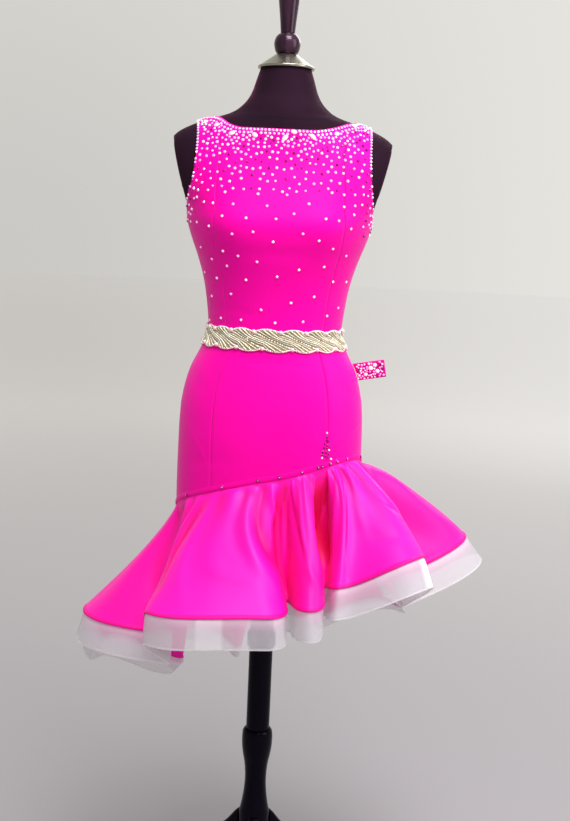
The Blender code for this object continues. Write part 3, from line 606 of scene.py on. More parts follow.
# creases: turn and height of one end, turn and height of the other, rise (below 0 a trough), width
clothCreases = [
    (-62, 1.345, -40, 1.318, -0.0007, 0.0085), (61, 1.352, 36, 1.322, -0.0008, 0.0080),
    (-78, 1.290, -50, 1.262, -0.0005, 0.0070), (76, 1.285, 52, 1.250, 0.0005, 0.0075),
    (-22, 1.297, 20, 1.300, -0.0006, 0.0110), (-58, 1.205, -12, 1.196, -0.0004, 0.0060),
    (14, 1.203, 60, 1.212, 0.0004, 0.0065), (-35, 1.178, 5, 1.181, 0.0004, 0.0045),
    (-80, 1.395, -64, 1.362, -0.0006, 0.0060), (80, 1.400, 66, 1.366, -0.0006, 0.0060),
    (-52, 1.474, -38, 1.430, 0.0004, 0.0080), (55, 1.476, 42, 1.438, 0.0004, 0.0080),
    (150, 1.330, 118, 1.300, -0.0008, 0.0090), (205, 1.322, 240, 1.292, -0.0007, 0.0085),
    (170, 1.225, 132, 1.214, 0.0006, 0.0070), (190, 1.215, 236, 1.208, -0.0006, 0.0070),
    (160, 1.188, 205, 1.184, 0.0006, 0.0050), (112, 1.190, 140, 1.196, -0.0005, 0.0050),
    (222, 1.176, 250, 1.182, 0.0005, 0.0045), (176, 1.385, 150, 1.350, -0.0005, 0.0100),
    (-88, 1.037, -47, 0.972, 0.0007, 0.0028), (-47, 0.972, -36, 0.930, 0.0006, 0.0028),
    (40, 0.985, 74, 1.016, 0.0007, 0.0028), (74, 1.016, 89, 1.050, 0.0005, 0.0028),
    (-30, 1.120, 18, 1.114, -0.0004, 0.0070), (-70, 1.090, -44, 1.062, -0.0005, 0.0090),
    (48, 1.080, 70, 1.052, -0.0005, 0.0090), (-60, 0.935, -20, 0.950, -0.0005, 0.0110),
    (5, 0.990, 30, 0.962, -0.0005, 0.0120), (-12, 0.975, 14, 1.030, 0.0003, 0.0140),
    (120, 1.045, 165, 0.985, -0.0007, 0.0110), (196, 0.985, 240, 1.040, -0.0007, 0.0110),
    (150, 0.905, 118, 0.935, 0.0006, 0.0090), (205, 0.900, 240, 0.925, -0.0006, 0.0100),
    (172, 1.110, 138, 1.124, -0.0005, 0.0070), (190, 1.118, 226, 1.104, 0.0005, 0.0070),
]


def creaseRise(turn, height):
    girth = 0.135
    rise = np.zeros(np.broadcast(turn, height).shape)
    for startTurn, startHeight, endTurn, endHeight, depth, width in clothCreases:
        start = np.array([math.radians(startTurn) * girth, startHeight])
        way = np.array([math.radians(endTurn) * girth, endHeight]) - start
        near = (turn - (startTurn + endTurn) / 2 + 180) % 360 - 180 + (startTurn + endTurn) / 2
        share, off = offLine(np.radians(near) * girth - start[0], height - start[1], way, 0.05)
        rise = rise + depth * np.exp(-(off / width) ** 2) * (0.35 + 0.65 * np.sin(share * math.pi) ** 0.5)
    return rise


def edgeMark(points, dips):
    # how close each point lies to the panel's seamed edges, 1 on the edge
    mark = np.zeros(points.shape[:2])
    for side, strength in dips.items():
        axis = 1 if side in ("start", "end") else 0
        line = points[:, :1] if side == "start" else points[:, -1:]
        if axis == 0:
            line = points[:1] if side == "bottom" else points[-1:]
        near = np.exp(-(np.linalg.norm(points - line, axis=-1) / dress["seamWide"]) ** 2)
        mark = np.maximum(mark, strength * near)
    return mark


def makePanel(name, node, place, acrosses, ups, dips, flat):
    across, up = np.meshgrid(acrosses, ups)
    turn, height = place(across, up)
    base = clothPoint(turn, height, np.zeros_like(turn))
    seam = edgeMark(base, dips)
    # the cloth stays clear of the body however deep a crease is
    out = clothOut + creaseRise(turn, height) - seam * dress["seamDip"]
    out = np.clip(out, dress["clear"] + dress["least"], dress["most"])
    outer = clothPoint(turn, height, out)
    inner = clothPoint(turn, height, out - dress["shell"])
    piece = shellPiece(name, outer, inner, lycra, marks={"seam": seam})
    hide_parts(node)
    area = sheetArea(outer, False)
    min(area, flat[0] * flat[1])
    return piece, outer


def evenSteps(start, end, length):
    return np.linspace(start, end, max(4, int(round(length / dress["cell"]))))


bodiceUps = evenSteps(0, 1, 0.36)
skirtDowns = evenSteps(0, 1, 0.26)
share, neckShare = dress["princess"], dress["neckShare"]
sideShares = np.concatenate([evenSteps(share, neckShare, 0.075), evenSteps(neckShare, 1, 0.05)[1:]])
backShares = np.concatenate([evenSteps(0, neckShare, 0.16), evenSteps(neckShare, 1, 0.05)[1:]])
bodiceSeams = {"start": 0.45, "end": 0.45, "bottom": 0.6}
skirtSeams = {"start": 0.45, "end": 0.45, "top": 0.6, "bottom": 0.6}
frontSeams, sideSeams = {**skirtSeams, "end": 1.0}, {**skirtSeams, "start": 1.0}
frontSteps, backSteps = evenSteps(-share, share, 0.20), -backShares[::-1]
# name, node, way of placing, steps across, steps down, marked seams, flat size
panelTable = [
    ("bodiceFront", "bodice_front", frontPlace, frontSteps, bodiceUps, bodiceSeams, (0.24, 0.37)),
    ("bodiceSideRight", "bodice_side_right", frontPlace, sideShares, bodiceUps, bodiceSeams, (0.14, 0.40)),
    ("bodiceSideLeft", "bodice_side_left", frontPlace, -sideShares[::-1], bodiceUps, bodiceSeams,
     (0.14, 0.40)),
    ("bodiceBackRight", "bodice_back_right", backPlace, backShares, bodiceUps, bodiceSeams, (0.22, 0.40)),
    ("bodiceBackLeft", "bodice_back_left", backPlace, backSteps, bodiceUps, bodiceSeams, (0.22, 0.40)),
    ("skirtFront", "skirt_front", frontSkirtPlace, evenSteps(-1, 1, 0.18), skirtDowns, frontSeams,
     (0.24, 0.27)),
    ("skirtSideRight", "skirt_side_right", sideSkirtPlace, evenSteps(1, 2, 0.13), skirtDowns, sideSeams,
     (0.19, 0.27)),
    ("skirtSideLeft", "skirt_side_left", sideSkirtPlace, evenSteps(-2, -1, 0.13), skirtDowns, skirtSeams,
     (0.19, 0.29)),
    ("skirtBackRight", "skirt_back_right", skirtPlace, evenSteps(90, 180, 0.24), skirtDowns, skirtSeams,
     (0.28, 0.38)),
    ("skirtBackLeft", "skirt_back_left", skirtPlace, evenSteps(180, 270, 0.24), skirtDowns, skirtSeams,
     (0.28, 0.38)),
]
panels = [makePanel(*row) for row in panelTable]
print("bodice and skirt sewn")


# flounce: turn, reach, hem height, breadth, turn at the seam, leaving angle, fall of the band
folds = [
    (-84.0, 0.322, 0.653, 0.28, -88.0, 60.0, 76.0), (-50.0, 0.200, 0.645, 0.05, -62.0, 60.0, 80.0),
    (-36.0, 0.300, 0.720, 0.16, -42.0, 56.0, 84.0), (1.0, 0.266, 0.7285, 0.19, -10.0, 50.0, 86.0),
    (15.0, 0.160, 0.722, 0.03, 7.0, 55.0, 86.0), (18.5, 0.262, 0.738, 0.11, 19.0, 50.0, 85.0),
    (35.5, 0.178, 0.747, 0.03, 31.0, 45.0, 75.0), (30.5, 0.256, 0.771, 0.10, 41.0, 40.0, 68.0),
    (51.0, 0.326, 0.822, 0.20, 59.0, 28.0, 60.0), (64.0, 0.245, 0.755, 0.05, 71.0, 25.0, 58.0),
    (90.0, 0.358, 0.813, 0.28, 92.0, 10.0, 50.0), (112.0, 0.225, 0.700, 0.06, 112.0, 26.0, 58.0),
    (128.0, 0.325, 0.612, 0.26, 130.0, 32.0, 55.0), (147.0, 0.185, 0.588, 0.05, 148.0, 40.0, 50.0),
    (171.0, 0.320, 0.570, 0.34, 170.0, 40.0, 50.0), (195.0, 0.185, 0.510, 0.05, 194.0, 45.0, 46.0),
    (213.0, 0.315, 0.520, 0.30, 212.0, 45.0, 50.0), (231.0, 0.200, 0.500, 0.08, 231.0, 48.0, 44.0),
    (250.0, 0.318, 0.548, 0.16, 250.0, 52.0, 60.0),
]
flounce = {"perFold": 32, "rows": 62, "stripBelow": 0.0040, "overlap": 0.0015, "hipGap": 0.0009,
           "shell": 0.0009, "rollTall": 0.0062, "rollRise": 0.0010, "gatherRise": 0.0010, "gatherShare": 0.15,
           "deep": 0.24, "stitchAt": 0.0075, "stitchDip": 0.0004, "room": 0.0020, "outerLeast": 0.0012,
           "innerLeast": 0.0002}
band = {"hemShare": 0.965, "bend": 0.14, "drop": 0.0500, "lining": 0.0020, "wall": 0.0006, "rows": 15}
# where the braid is caught up under a fold: place, share taken up, half width in folds
caughtUp = [(11.9, 0.66, 0.60), (12.9, 0.40, 0.45), (15.15, 0.50, 0.45)]
# where it lies doubled, at its lapped ends and at one lobe's end: from, to, how soon, how much
doubled = [(2.45, 2.68, 0.02, 0.30), (7.98, 8.34, 0.05, 0.80)]
foldTable = np.array(folds)
arounds = np.arange(len(folds) * flounce["perFold"]) / flounce["perFold"]


# valleys between the folds: place, how much steeper they leave the seam, half width in folds
valleys = [(1.0, 26.0, 0.42), (4.0, 36.0, 0.40), (6.0, 46.0, 0.42), (9.0, 38.0, 0.45), (11.0, 40.0, 0.45),
           (13.0, 40.0, 0.45), (15.0, 36.0, 0.45), (17.0, 34.0, 0.45)]


def leavingAngle(around):
    angle = foldValue(around, 5)
    for place, steeper, wide in valleys:
        off = (around - place + len(folds) / 2) % len(folds) - len(folds) / 2
        angle = angle + steeper * np.exp(-(off / wide) ** 2)
    return np.minimum(angle, 86.0)


def foldRows(index):
    rounds, place = np.divmod(index, len(folds))
    rows = foldTable[place].copy()
    rows[..., 0] += 360.0 * rounds
    rows[..., 4] += 360.0 * rounds
    return rows


def foldValue(around, column):
    index = np.floor(around).astype(int)
    before, start, end, after = (foldRows(index + step)[..., column] for step in (-1, 0, 1, 2))
    return hermite(start, (end - before) / 2, end, (after - start) / 2, around - index)


def outwardAt(turn):
    angle = np.radians(turn)
    return np.stack([np.sin(angle), -np.cos(angle), np.zeros_like(angle)], -1)


def slantAt(outward, below):
    angle = np.radians(below)[..., None]
    return outward * np.cos(angle) + np.array([0.0, 0.0, -1.0]) * np.sin(angle)


def hemPoint(around):
    index = np.floor(around).astype(int)
    ends = []
    for row in (foldRows(index), foldRows(index + 1)):
        angle = np.radians(row[..., 0])
        place = np.stack([row[..., 1] * np.sin(angle), -row[..., 1] * np.cos(angle), row[..., 2]], -1)
        bend = np.stack([np.cos(angle), np.sin(angle), np.zeros_like(angle)], -1) * row[..., 3:4]
        ends.append((place, bend))
    (start, startBend), (end, endBend) = ends
    share = (around - index)[..., None]
    point = hermite(start, startBend, end, endBend, share)
    point[..., 2] = (start + (end - start) * ease(share))[..., 2]
    return point


def gatherWave(around, share):
    # uneven small gathers that die out down the flounce, strongest at the front
    place = foldValue(around, 4)
    reach = 0.35 + 0.65 * ease((place + 40) / 15) * ease((75 - place) / 15)
    length = flounce["gatherShare"] * (1 + 0.5 * np.sin(around * 5.3 + 1.0))
    fade = (share / length) * np.exp(1 - share / length)
    wave = np.cos(3 * math.pi * around) + 0.5 * np.sin(7.0 * around + 0.6) + 0.35 * np.cos(19.0 * around)
    return flounce["gatherRise"] * reach * fade * wave


# creases in the satin: place round the folds and share down at both ends, rise, width in metres
satinCreases = [
    (3.30, 0.02, 3.66, 0.72, -0.0110, 0.0135), (3.08, 0.04, 3.46, 0.92, 0.0040, 0.0100),
    (3.62, 0.05, 3.78, 0.34, 0.0050, 0.0050), (3.95, 0.02, 4.02, 0.96, -0.0130, 0.0110),
    (4.25, 0.02, 4.95, 0.70, -0.0050, 0.0085), (4.62, 0.02, 5.16, 0.88, 0.0048, 0.0070),
    (5.46, 0.02, 5.68, 0.80, -0.0190, 0.0155), (5.42, 0.03, 5.30, 0.50, 0.0024, 0.0060),
    (6.02, 0.02, 6.06, 0.84, -0.0240, 0.0240), (6.72, 0.04, 6.60, 0.94, 0.0034, 0.0080),
    (7.13, 0.03, 7.05, 0.95, -0.0030, 0.0052), (7.36, 0.04, 7.40, 0.70, 0.0022, 0.0090),
    (7.76, 0.30, 8.14, 0.62, -0.0026, 0.0042), (7.90, 0.24, 8.40, 0.66, 0.0020, 0.0080),
    (7.30, 0.60, 7.90, 0.80, -0.0018, 0.0100), (8.20, 0.06, 8.60, 0.55, -0.0022, 0.0110),
    (8.76, 0.05, 9.10, 0.60, 0.0030, 0.0100), (9.52, 0.08, 9.58, 0.92, -0.0075, 0.0140),
    (9.80, 0.20, 9.94, 0.94, 0.0042, 0.0090), (10.15, 0.10, 10.35, 0.90, -0.0034, 0.0130),
    (1.78, 0.04, 1.50, 0.66, -0.0110, 0.0110), (2.22, 0.05, 1.88, 0.84, -0.0125, 0.0120),
    (2.50, 0.05, 2.30, 0.90, 0.0024, 0.0070), (2.72, 0.04, 2.62, 0.72, 0.0022, 0.0120),
    (2.96, 0.10, 3.00, 0.60, -0.0018, 0.0090),
    (2.40, 0.62, 2.90, 0.80, -0.0014, 0.0110), (0.50, 0.08, 0.30, 0.84, 0.0034, 0.0110),
    (0.84, 0.06, 0.72, 0.80, -0.0060, 0.0120), (0.12, 0.16, 0.02, 0.90, -0.0034, 0.0120),
    (18.60, 0.12, 18.40, 0.90, 0.0026, 0.0130), (10.75, 0.06, 10.95, 0.80, -0.0070, 0.0140),
    (11.40, 0.10, 11.62, 0.86, 0.0034, 0.0120), (11.84, 0.15, 12.30, 0.85, -0.0036, 0.0130),
    (12.20, 0.10, 11.90, 0.70, 0.0026, 0.0110), (12.74, 0.08, 12.86, 0.90, -0.0060, 0.0130),
    (13.36, 0.08, 13.55, 0.86, 0.0036, 0.0130), (13.85, 0.12, 14.30, 0.90, -0.0034, 0.0150),
    (14.30, 0.14, 14.10, 0.82, 0.0030, 0.0140), (14.72, 0.06, 14.80, 0.92, -0.0070, 0.0130),
    (15.45, 0.10, 15.60, 0.88, 0.0034, 0.0130), (15.90, 0.14, 16.30, 0.90, -0.0034, 0.0150),
    (16.30, 0.10, 15.96, 0.75, 0.0028, 0.0130), (16.78, 0.06, 16.86, 0.90, -0.0065, 0.0130),
    (17.42, 0.10, 17.30, 0.84, 0.0032, 0.0120), (17.90, 0.12, 18.25, 0.80, -0.0030, 0.0130),
]


# lobes turned from the light, given painted shade: place round the folds, how much, half width
shadedLobes = [(5.10, 0.26, 0.45), (9.55, 0.30, 0.85), (0.60, 0.14, 0.60)]


# gathers running down from the seam: place round the folds, slant, share they reach, rise, width
seamGathers = [
    (2.55, 0.10, 0.34, -0.0028, 0.0034), (2.78, 0.04, 0.22, 0.0022, 0.0030),
    (3.02, -0.06, 0.40, -0.0030, 0.0036), (3.24, 0.05, 0.26, 0.0024, 0.0028),
    (3.45, -0.10, 0.45, -0.0036, 0.0034), (3.62, 0.02, 0.20, 0.0020, 0.0026),
    (3.80, -0.04, 0.52, 0.0030, 0.0036), (4.05, 0.06, 0.60, -0.0044, 0.0042),
    (4.34, 0.08, 0.38, 0.0030, 0.0032), (4.62, 0.05, 0.55, -0.0026, 0.0030),
    (4.90, -0.05, 0.36, 0.0026, 0.0032), (5.18, 0.10, 0.62, -0.0030, 0.0032),
    (5.50, 0.00, 0.30, 0.0024, 0.0030), (5.78, 0.06, 0.48, -0.0036, 0.0036),
    (6.05, 0.02, 0.55, -0.0044, 0.0042), (6.38, -0.06, 0.34, 0.0028, 0.0030),
    (6.62, 0.08, 0.50, -0.0034, 0.0034), (6.90, 0.00, 0.28, 0.0028, 0.0028),
    (7.16, 0.10, 0.58, -0.0036, 0.0034), (7.42, 0.04, 0.32, 0.0026, 0.0030),
    (7.66, 0.06, 0.66, -0.0032, 0.0036), (8.05, 0.12, 0.26, 0.0018, 0.0034),
    (8.46, 0.10, 0.30, -0.0020, 0.0036), (8.90, 0.10, 0.42, -0.0030, 0.0040),
    (0.20, 0.10, 0.30, -0.0020, 0.0040), (0.72, 0.06, 0.40, -0.0026, 0.0042),
    (1.10, -0.04, 0.50, -0.0034, 0.0046), (1.52, 0.06, 0.28, 0.0018, 0.0040),
    (1.90, -0.10, 0.24, -0.0016, 0.0036), (2.25, 0.05, 0.20, 0.0014, 0.0034),
    (9.80, 0.10, 0.30, 0.0020, 0.0042), (10.35, -0.06, 0.36, -0.0024, 0.0044),
    (10.90, 0.08, 0.48, -0.0034, 0.0048), (11.45, 0.06, 0.28, 0.0020, 0.0040),
    (12.00, -0.08, 0.34, -0.0020, 0.0042), (12.55, 0.10, 0.26, 0.0018, 0.0040),
    (13.05, 0.04, 0.52, -0.0036, 0.0048), (13.50, -0.06, 0.30, 0.0020, 0.0042),
    (13.95, 0.10, 0.24, -0.0018, 0.0038), (14.52, 0.06, 0.34, 0.0022, 0.0044),
    (15.02, -0.04, 0.52, -0.0036, 0.0048), (15.55, 0.08, 0.28, 0.0020, 0.0040),
    (16.10, 0.05, 0.26, -0.0018, 0.0040), (16.62, -0.08, 0.34, 0.0022, 0.0042),
    (17.05, 0.06, 0.48, -0.0034, 0.0046), (17.60, 0.04, 0.30, 0.0018, 0.0042),
    (18.20, -0.06, 0.28, -0.0020, 0.0040), (18.70, 0.08, 0.34, 0.0020, 0.0042),
]


def satinRise(around, share):
    run, girth = 0.24, 0.085
    rise = np.zeros(np.broadcast(around, share).shape)
    # the second result is painted shade: darker in the troughs of creases and gathers, and on lobes turned
    # from the light
    foldShade = np.zeros_like(rise)
    for startAround, startShare, endAround, endShare, depth, width in satinCreases:
        way = np.array([(endAround - startAround) * girth, (endShare - startShare) * run])
        along, off = offLine((around - startAround) * girth, (share - startShare) * run, way, 0.08)
        bump = depth * np.exp(-(off / width) ** 2) * np.sin(along * math.pi * 0.94 + 0.1) ** 0.7
        rise = rise + bump
        foldShade = np.maximum(foldShade, np.clip(-bump / 0.016, 0, 1))
    for place, shadeDepth, wide in shadedLobes:
        foldShade = np.maximum(foldShade, shadeDepth * np.exp(-((around - place) / wide) ** 2))
    seamGirth = 0.043
    for place, slant, reach, depth, width in seamGathers:
        spread = width * (1 + 1.8 * share / reach)
        off = (around - place - slant * share / reach) * (seamGirth + share * 0.05)
        fade = ease((share - 0.006) / 0.05) * np.exp(-(share / reach) ** 2 * 1.6)
        rise = rise + depth * np.exp(-(off / spread) ** 2) * fade
        foldShade = np.maximum(foldShade, np.clip(-depth / 0.0060, 0, 1) * np.exp(-(off / spread) ** 2) * fade)
    return rise * ease((1 - share) / 0.10), foldShade * ease((1 - share) / 0.06)


def flouncePoint(around, share):
    around, share = np.broadcast_arrays(np.asarray(around, float), np.asarray(share, float))
    turn = foldValue(around, 4)
    top = clothPoint(turn, hipSeam(turn) - flounce["stripBelow"] - flounce["overlap"],
                     np.full_like(turn, dress["clear"] + dress["wall"] / 2))
    hem = hemPoint(around)
    run = np.linalg.norm(hem - top, axis=-1)[..., None]
    outward = outwardAt(turn)
    startWay = slantAt(outward, leavingAngle(around)) * run
    endWay = (hem - top) * 1.5 - startWay * 0.5
    point = hermite(top, startWay, hem, endWay, share[..., None])
    return point + outward * gatherWave(around, share)[..., None]


def sheetNormal(surface, around, share):
    step = 0.02
    low, high = np.maximum(share - step, 0.0), np.minimum(share + step, 1.0)
    across = surface(around + step, share) - surface(around - step, share)
    down = surface(around, high) - surface(around, low)
    return unit(np.cross(down, across))


def bandPoint(around, share):
    around, share = np.broadcast_arrays(np.asarray(around, float), np.asarray(share, float))
    hemShare = np.full_like(around, band["hemShare"])
    hem = hemPoint(around)
    above = flouncePoint(around, hemShare)
    fall = hem - above
    tucked = above - sheetNormal(flouncePoint, around, hemShare) * band["lining"]
    place = foldValue(around, 0)
    behind = ease((place - 95) / 30) * ease((290 - place) / 30)
    level = unit(fall * np.array([1.0, 1.0, 0.0]))
    outward = unit(level + outwardAt(place) * (0.2 + 1.3 * behind)[..., None])
    bottomWay = slantAt(outward, foldValue(around, 6))
    short = 1 - sum(taken * np.exp(-((around - spot) / wide) ** 2) for spot, taken, wide in caughtUp)
    edge = hem - sheetNormal(flouncePoint, around, np.ones_like(around)) * band["lining"]
    upper = tucked + (edge - tucked) * np.minimum(share / band["bend"], 1)[..., None]
    drop = band["drop"] * short * np.maximum(share - band["bend"], 0) / (1 - band["bend"])
    return upper + bottomWay * drop[..., None]


def makeFlounce():
    top = np.linspace(0, 1, 3)[:, None]
    turn = foldValue(arounds, 4)[None, :]
    drop = flounce["hipGap"] + (flounce["stripBelow"] + flounce["overlap"] - flounce["hipGap"]) * top
    height = hipSeam(turn) - drop
    outside = np.full_like(height, clothOut)
    topOuter = clothPoint(turn + 0 * drop, height, outside)
    topInner = clothPoint(turn + 0 * drop, height, outside - flounce["shell"])
    shares = np.concatenate([np.linspace(0, 0.955, flounce["rows"])[1:], [0.965, 0.974, 0.983, 0.992, 1.0]])
    around, share = np.meshgrid(arounds, shares)
    middle = flouncePoint(around, share)
    normal = sheetNormal(flouncePoint, around, share)
    left = (1 - share) * flounce["deep"]
    roll = np.exp(-((left - flounce["rollTall"] / 2) / (flounce["rollTall"] / 2)) ** 4)
    rise, foldShade = satinRise(around, share)
    stitch = np.exp(-((left - flounce["stitchAt"]) / 0.001) ** 2)
    rise = rise + roll * flounce["rollRise"] - flounce["stitchDip"] * stitch
    outer = middle + normal * (rise + flounce["shell"] / 2)[..., None]
    inner = middle + normal * (rise - flounce["shell"] / 2 - roll * flounce["rollRise"])[..., None]
    room = ease(share / 0.06) * flounce["room"]
    outer = keptOff(outer, room + dress["clear"] + flounce["outerLeast"])
    inner = keptOff(inner, room + dress["clear"] + flounce["innerLeast"])
    # the hem mark: the rolled hem, which gets painted shade and a rougher finish
    hem = np.concatenate([np.zeros((3, len(arounds))), ease((flounce["rollTall"] + 0.001 - left) / 0.001)])
    outer, inner = np.concatenate([topOuter, outer]), np.concatenate([topInner, inner])
    # painted shade for the folds, none on the three rows at the seam
    foldShade = np.concatenate([np.zeros((3, len(arounds))), foldShade])
    piece = shellPiece("satinFlounce", outer, inner, satin, ring=True, marks={"hem": hem, "foldShade": foldShade})
    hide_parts("flounce")
    return piece, outer


def makeBand():
    shares = np.concatenate([np.linspace(0, band["bend"], 4), np.linspace(band["bend"], 1, band["rows"])[1:]])
    around, share = np.meshgrid(arounds, shares)
    middle = bandPoint(around, share)
    normal = sheetNormal(bandPoint, around, share)
    below = np.maximum(share - band["bend"], 0) / (1 - band["bend"])
    ripple = 0.0010 * np.sin(around * 11.0 + 2.0 * below) * below
    outer = middle + normal * (ripple + band["wall"] / 2)[..., None]
    inner = middle + normal * (ripple - band["wall"] / 2)[..., None]
    edge = np.maximum(ease((below - 0.955) / 0.02), 0.35 * np.exp(-(below / 0.22) ** 2))
    lap = sum(much * ease((around - start) / soon) * ease((end - around) / soon)
              for start, end, soon, much in doubled)
    edge = np.clip(edge + lap, 0, 1)
    blush = 0.75 * np.exp(-(below / 0.32) ** 2)
    piece = shellPiece("horsehairBand", outer, inner, horsehair, ring=True,
                       marks={"edge": edge, "blush": blush})
    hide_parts("horsehair_band")
    return piece, outer


bandPiece, bandOuter = makeBand()
flouncePiece, flounceOuter = makeFlounce()


def ringLength(points):
    return float(np.linalg.norm(points - np.roll(points, 1, axis=0), axis=1).sum())


bandLong = ringLength(bandOuter[-1])
round(min(sheetArea(bandOuter, True), bandLong * 0.062), 4)
hemLong = ringLength(flounceOuter[-1])
deepest = float(np.linalg.norm(np.diff(flounceOuter, axis=0), axis=-1).sum(axis=0).max())
round(min(sheetArea(flounceOuter, True), hemLong * deepest), 4)
print("flounce hung: hem", round(hemLong, 3), "deep", round(deepest, 3), "band", round(bandLong, 3))


# strip over the hip seam
strip = {"above": 0.0050, "below": 0.0040, "thick": 0.0008, "girth": 0.13, "stitch": 0.0026}


def makeStrip():
    base = clothOut + dress["seamGap"]
    turns = np.linspace(0, 360, 720, endpoint=False)
    rows = np.linspace(strip["above"], -strip["below"], 12)
    turn, lift = np.meshgrid(turns, rows)
    share = (strip["above"] - lift) / (strip["above"] + strip["below"])
    puff = 0.0006 * np.sqrt(np.maximum(np.sin(share * math.pi), 0))
    line = np.exp(-((np.abs(share - 0.5) - 0.34) / 0.05) ** 2)
    dash = 0.5 + 0.5 * np.sign(np.sin(np.radians(turn) * strip["girth"] * 2 * math.pi / strip["stitch"]))
    out = base + strip["thick"] + puff - line * (0.0002 + 0.00025 * dash)
    height = hipSeam(turn) + lift
    outer = clothPoint(turn, height, out)
    inner = clothPoint(turn, height, np.full_like(turn, base))
    # the seam mark darkens the stitch lines, and as painted shade the strip's upper and lower edges
    piece = shellPiece("hipStrip", outer, inner, lycra, ring=True,
                       marks={"seam": np.maximum(line * (0.4 + 0.6 * dash), np.abs(share * 2 - 1) ** 8)})
    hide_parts("hip_band")
    long = ringLength(outer[6])
    round(min(sheetArea(outer, True), long * 0.0105), 5)


makeStrip()
print("hip strip sewn")


# dress form: its cover is drawn in below the solid's skin, further where the dress lies over it
form = {"neckSeam": 1.5385, "neckDip": 0.0205, "seamWide": 0.0012, "seamDip": 0.0005, "perDegree": 0.0023,
        "bareFrom": 1.40, "bareIn": 0.0006, "coveredIn": 0.0012}


def makeForm():
    heights = np.concatenate([np.linspace(1.612, 1.49, 60), np.linspace(1.488, 1.30, 60),
                              np.linspace(1.295, 0.745, 90)])
    turns = np.linspace(0, 360, 180, endpoint=False)
    turn, height = np.meshgrid(turns, heights)
    neckSeam = form["neckSeam"] - form["neckDip"] * np.cos(np.radians(turn))
    seam = np.exp(-((height - neckSeam) / form["seamWide"]) ** 2)
    side = np.minimum(np.abs(turn - 90), np.abs(turn - 270)) * form["perDegree"]
    sideSeam = np.exp(-(side / form["seamWide"]) ** 2)
    line = np.maximum(seam, sideSeam * (height < neckSeam))
    inward = np.where(height > form["bareFrom"], form["bareIn"], form["coveredIn"])
    out = -inward - line * form["seamDip"]
    points = clothPoint(turn, height, out)
    mesh = bpy.data.meshes.new("formBody")
    rows, columns = points.shape[:2]
    quads = quadArray(rows, columns, True)
    caps = [list(range(columns)), list(range((rows - 1) * columns, rows * columns))[::-1]]
    mesh.from_pydata(points.reshape(-1, 3) + mast, [], quads[:, ::-1].tolist() + caps)
    across, down = gridSpans(points, True)
    layer = mesh.uv_layers.new(name="cloth")
    corner = np.array([loop.vertex_index for loop in mesh.loops])
    layer.data.foreach_set("uv", np.stack([across[corner % columns], down[corner // columns]], -1)
                           .reshape(-1).astype(np.float32))
    seamMark = mesh.attributes.new("seam", "FLOAT", "POINT")
    seamMark.data.foreach_set("value", line.reshape(-1).astype(np.float32))
    piece = meshPiece("formBody", mesh, jersey)
    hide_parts("form_torso")


makeForm()


def deselectAll():
    if bpy.context.mode != "OBJECT":
        bpy.ops.object.mode_set(mode="OBJECT")
    bpy.ops.object.select_all(action="DESELECT")


def activate(piece):
    deselectAll()
    piece.select_set(True)
    bpy.context.view_layer.objects.active = piece


def finishPiece(piece, name, finish, body, node, angle=35.0):
    activate(piece)
    bpy.ops.object.mode_set(mode="EDIT")
    bpy.ops.mesh.select_all(action="SELECT")
    bpy.ops.mesh.remove_doubles(threshold=0.00001)
    bpy.ops.mesh.normals_make_consistent(inside=False)
    bpy.ops.object.mode_set(mode="OBJECT")
    bpy.ops.object.transform_apply(location=True, rotation=True, scale=True)
    bpy.ops.object.shade_smooth_by_angle(angle=math.radians(angle))
    piece.name = name
    piece.data.name = name
    piece.data.materials.clear()
    piece.data.materials.append(finish)
    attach(piece, body)
    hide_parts(node)


def spunPiece(name, profile, finish, body, node, closed=False):
    # the profile is traced from one point by extruding it, then spun about the mast
    deselectAll()
    start = Vector((mast[0] + profile[0][1], mast[1], profile[0][0]))
    bpy.ops.mesh.primitive_plane_add(size=0.01, location=start)
    piece = bpy.context.object
    bpy.ops.object.mode_set(mode="EDIT")
    bpy.ops.mesh.merge(type="CENTER")
    ways = [(after[1] - here[1], 0.0, after[0] - here[0]) for here, after in zip(profile, profile[1:])]
    for way in ways:
        bpy.ops.mesh.extrude_region_move(TRANSFORM_OT_translate={"value": way})
    bpy.ops.mesh.select_all(action="SELECT")
    if closed:
        bpy.ops.mesh.remove_doubles(threshold=0.00001)
    bpy.ops.mesh.spin(steps=post["steps"], angle=2 * math.pi, center=(mast[0], mast[1], 0.0), axis=(0, 0, 1))
    bpy.ops.mesh.select_all(action="SELECT")
    bpy.ops.mesh.remove_doubles(threshold=0.00001)
    if not closed:
        bpy.ops.mesh.select_all(action="DESELECT")
        bpy.ops.mesh.select_mode(type="EDGE")
        bpy.ops.mesh.select_non_manifold()
        bpy.ops.mesh.edge_face_add()
        bpy.ops.mesh.select_mode(type="VERT")
    bpy.ops.object.mode_set(mode="OBJECT")
    finishPiece(piece, name, finish, body, node)


def rounded(profile, count):
    # more points along a smooth curve through the profile's rows
    rows = np.array(profile)
    length = runLengths(rows)
    at = np.unique(np.concatenate([np.linspace(0, length[-1], count), length]))
    table = [(place, *row) for place, row in zip(length, rows)]
    height, radius = smoothTable(table, 1)(at), smoothTable(table, 2)(at)
    return list(zip(height.tolist(), np.maximum(radius, 0.0005).tolist()))


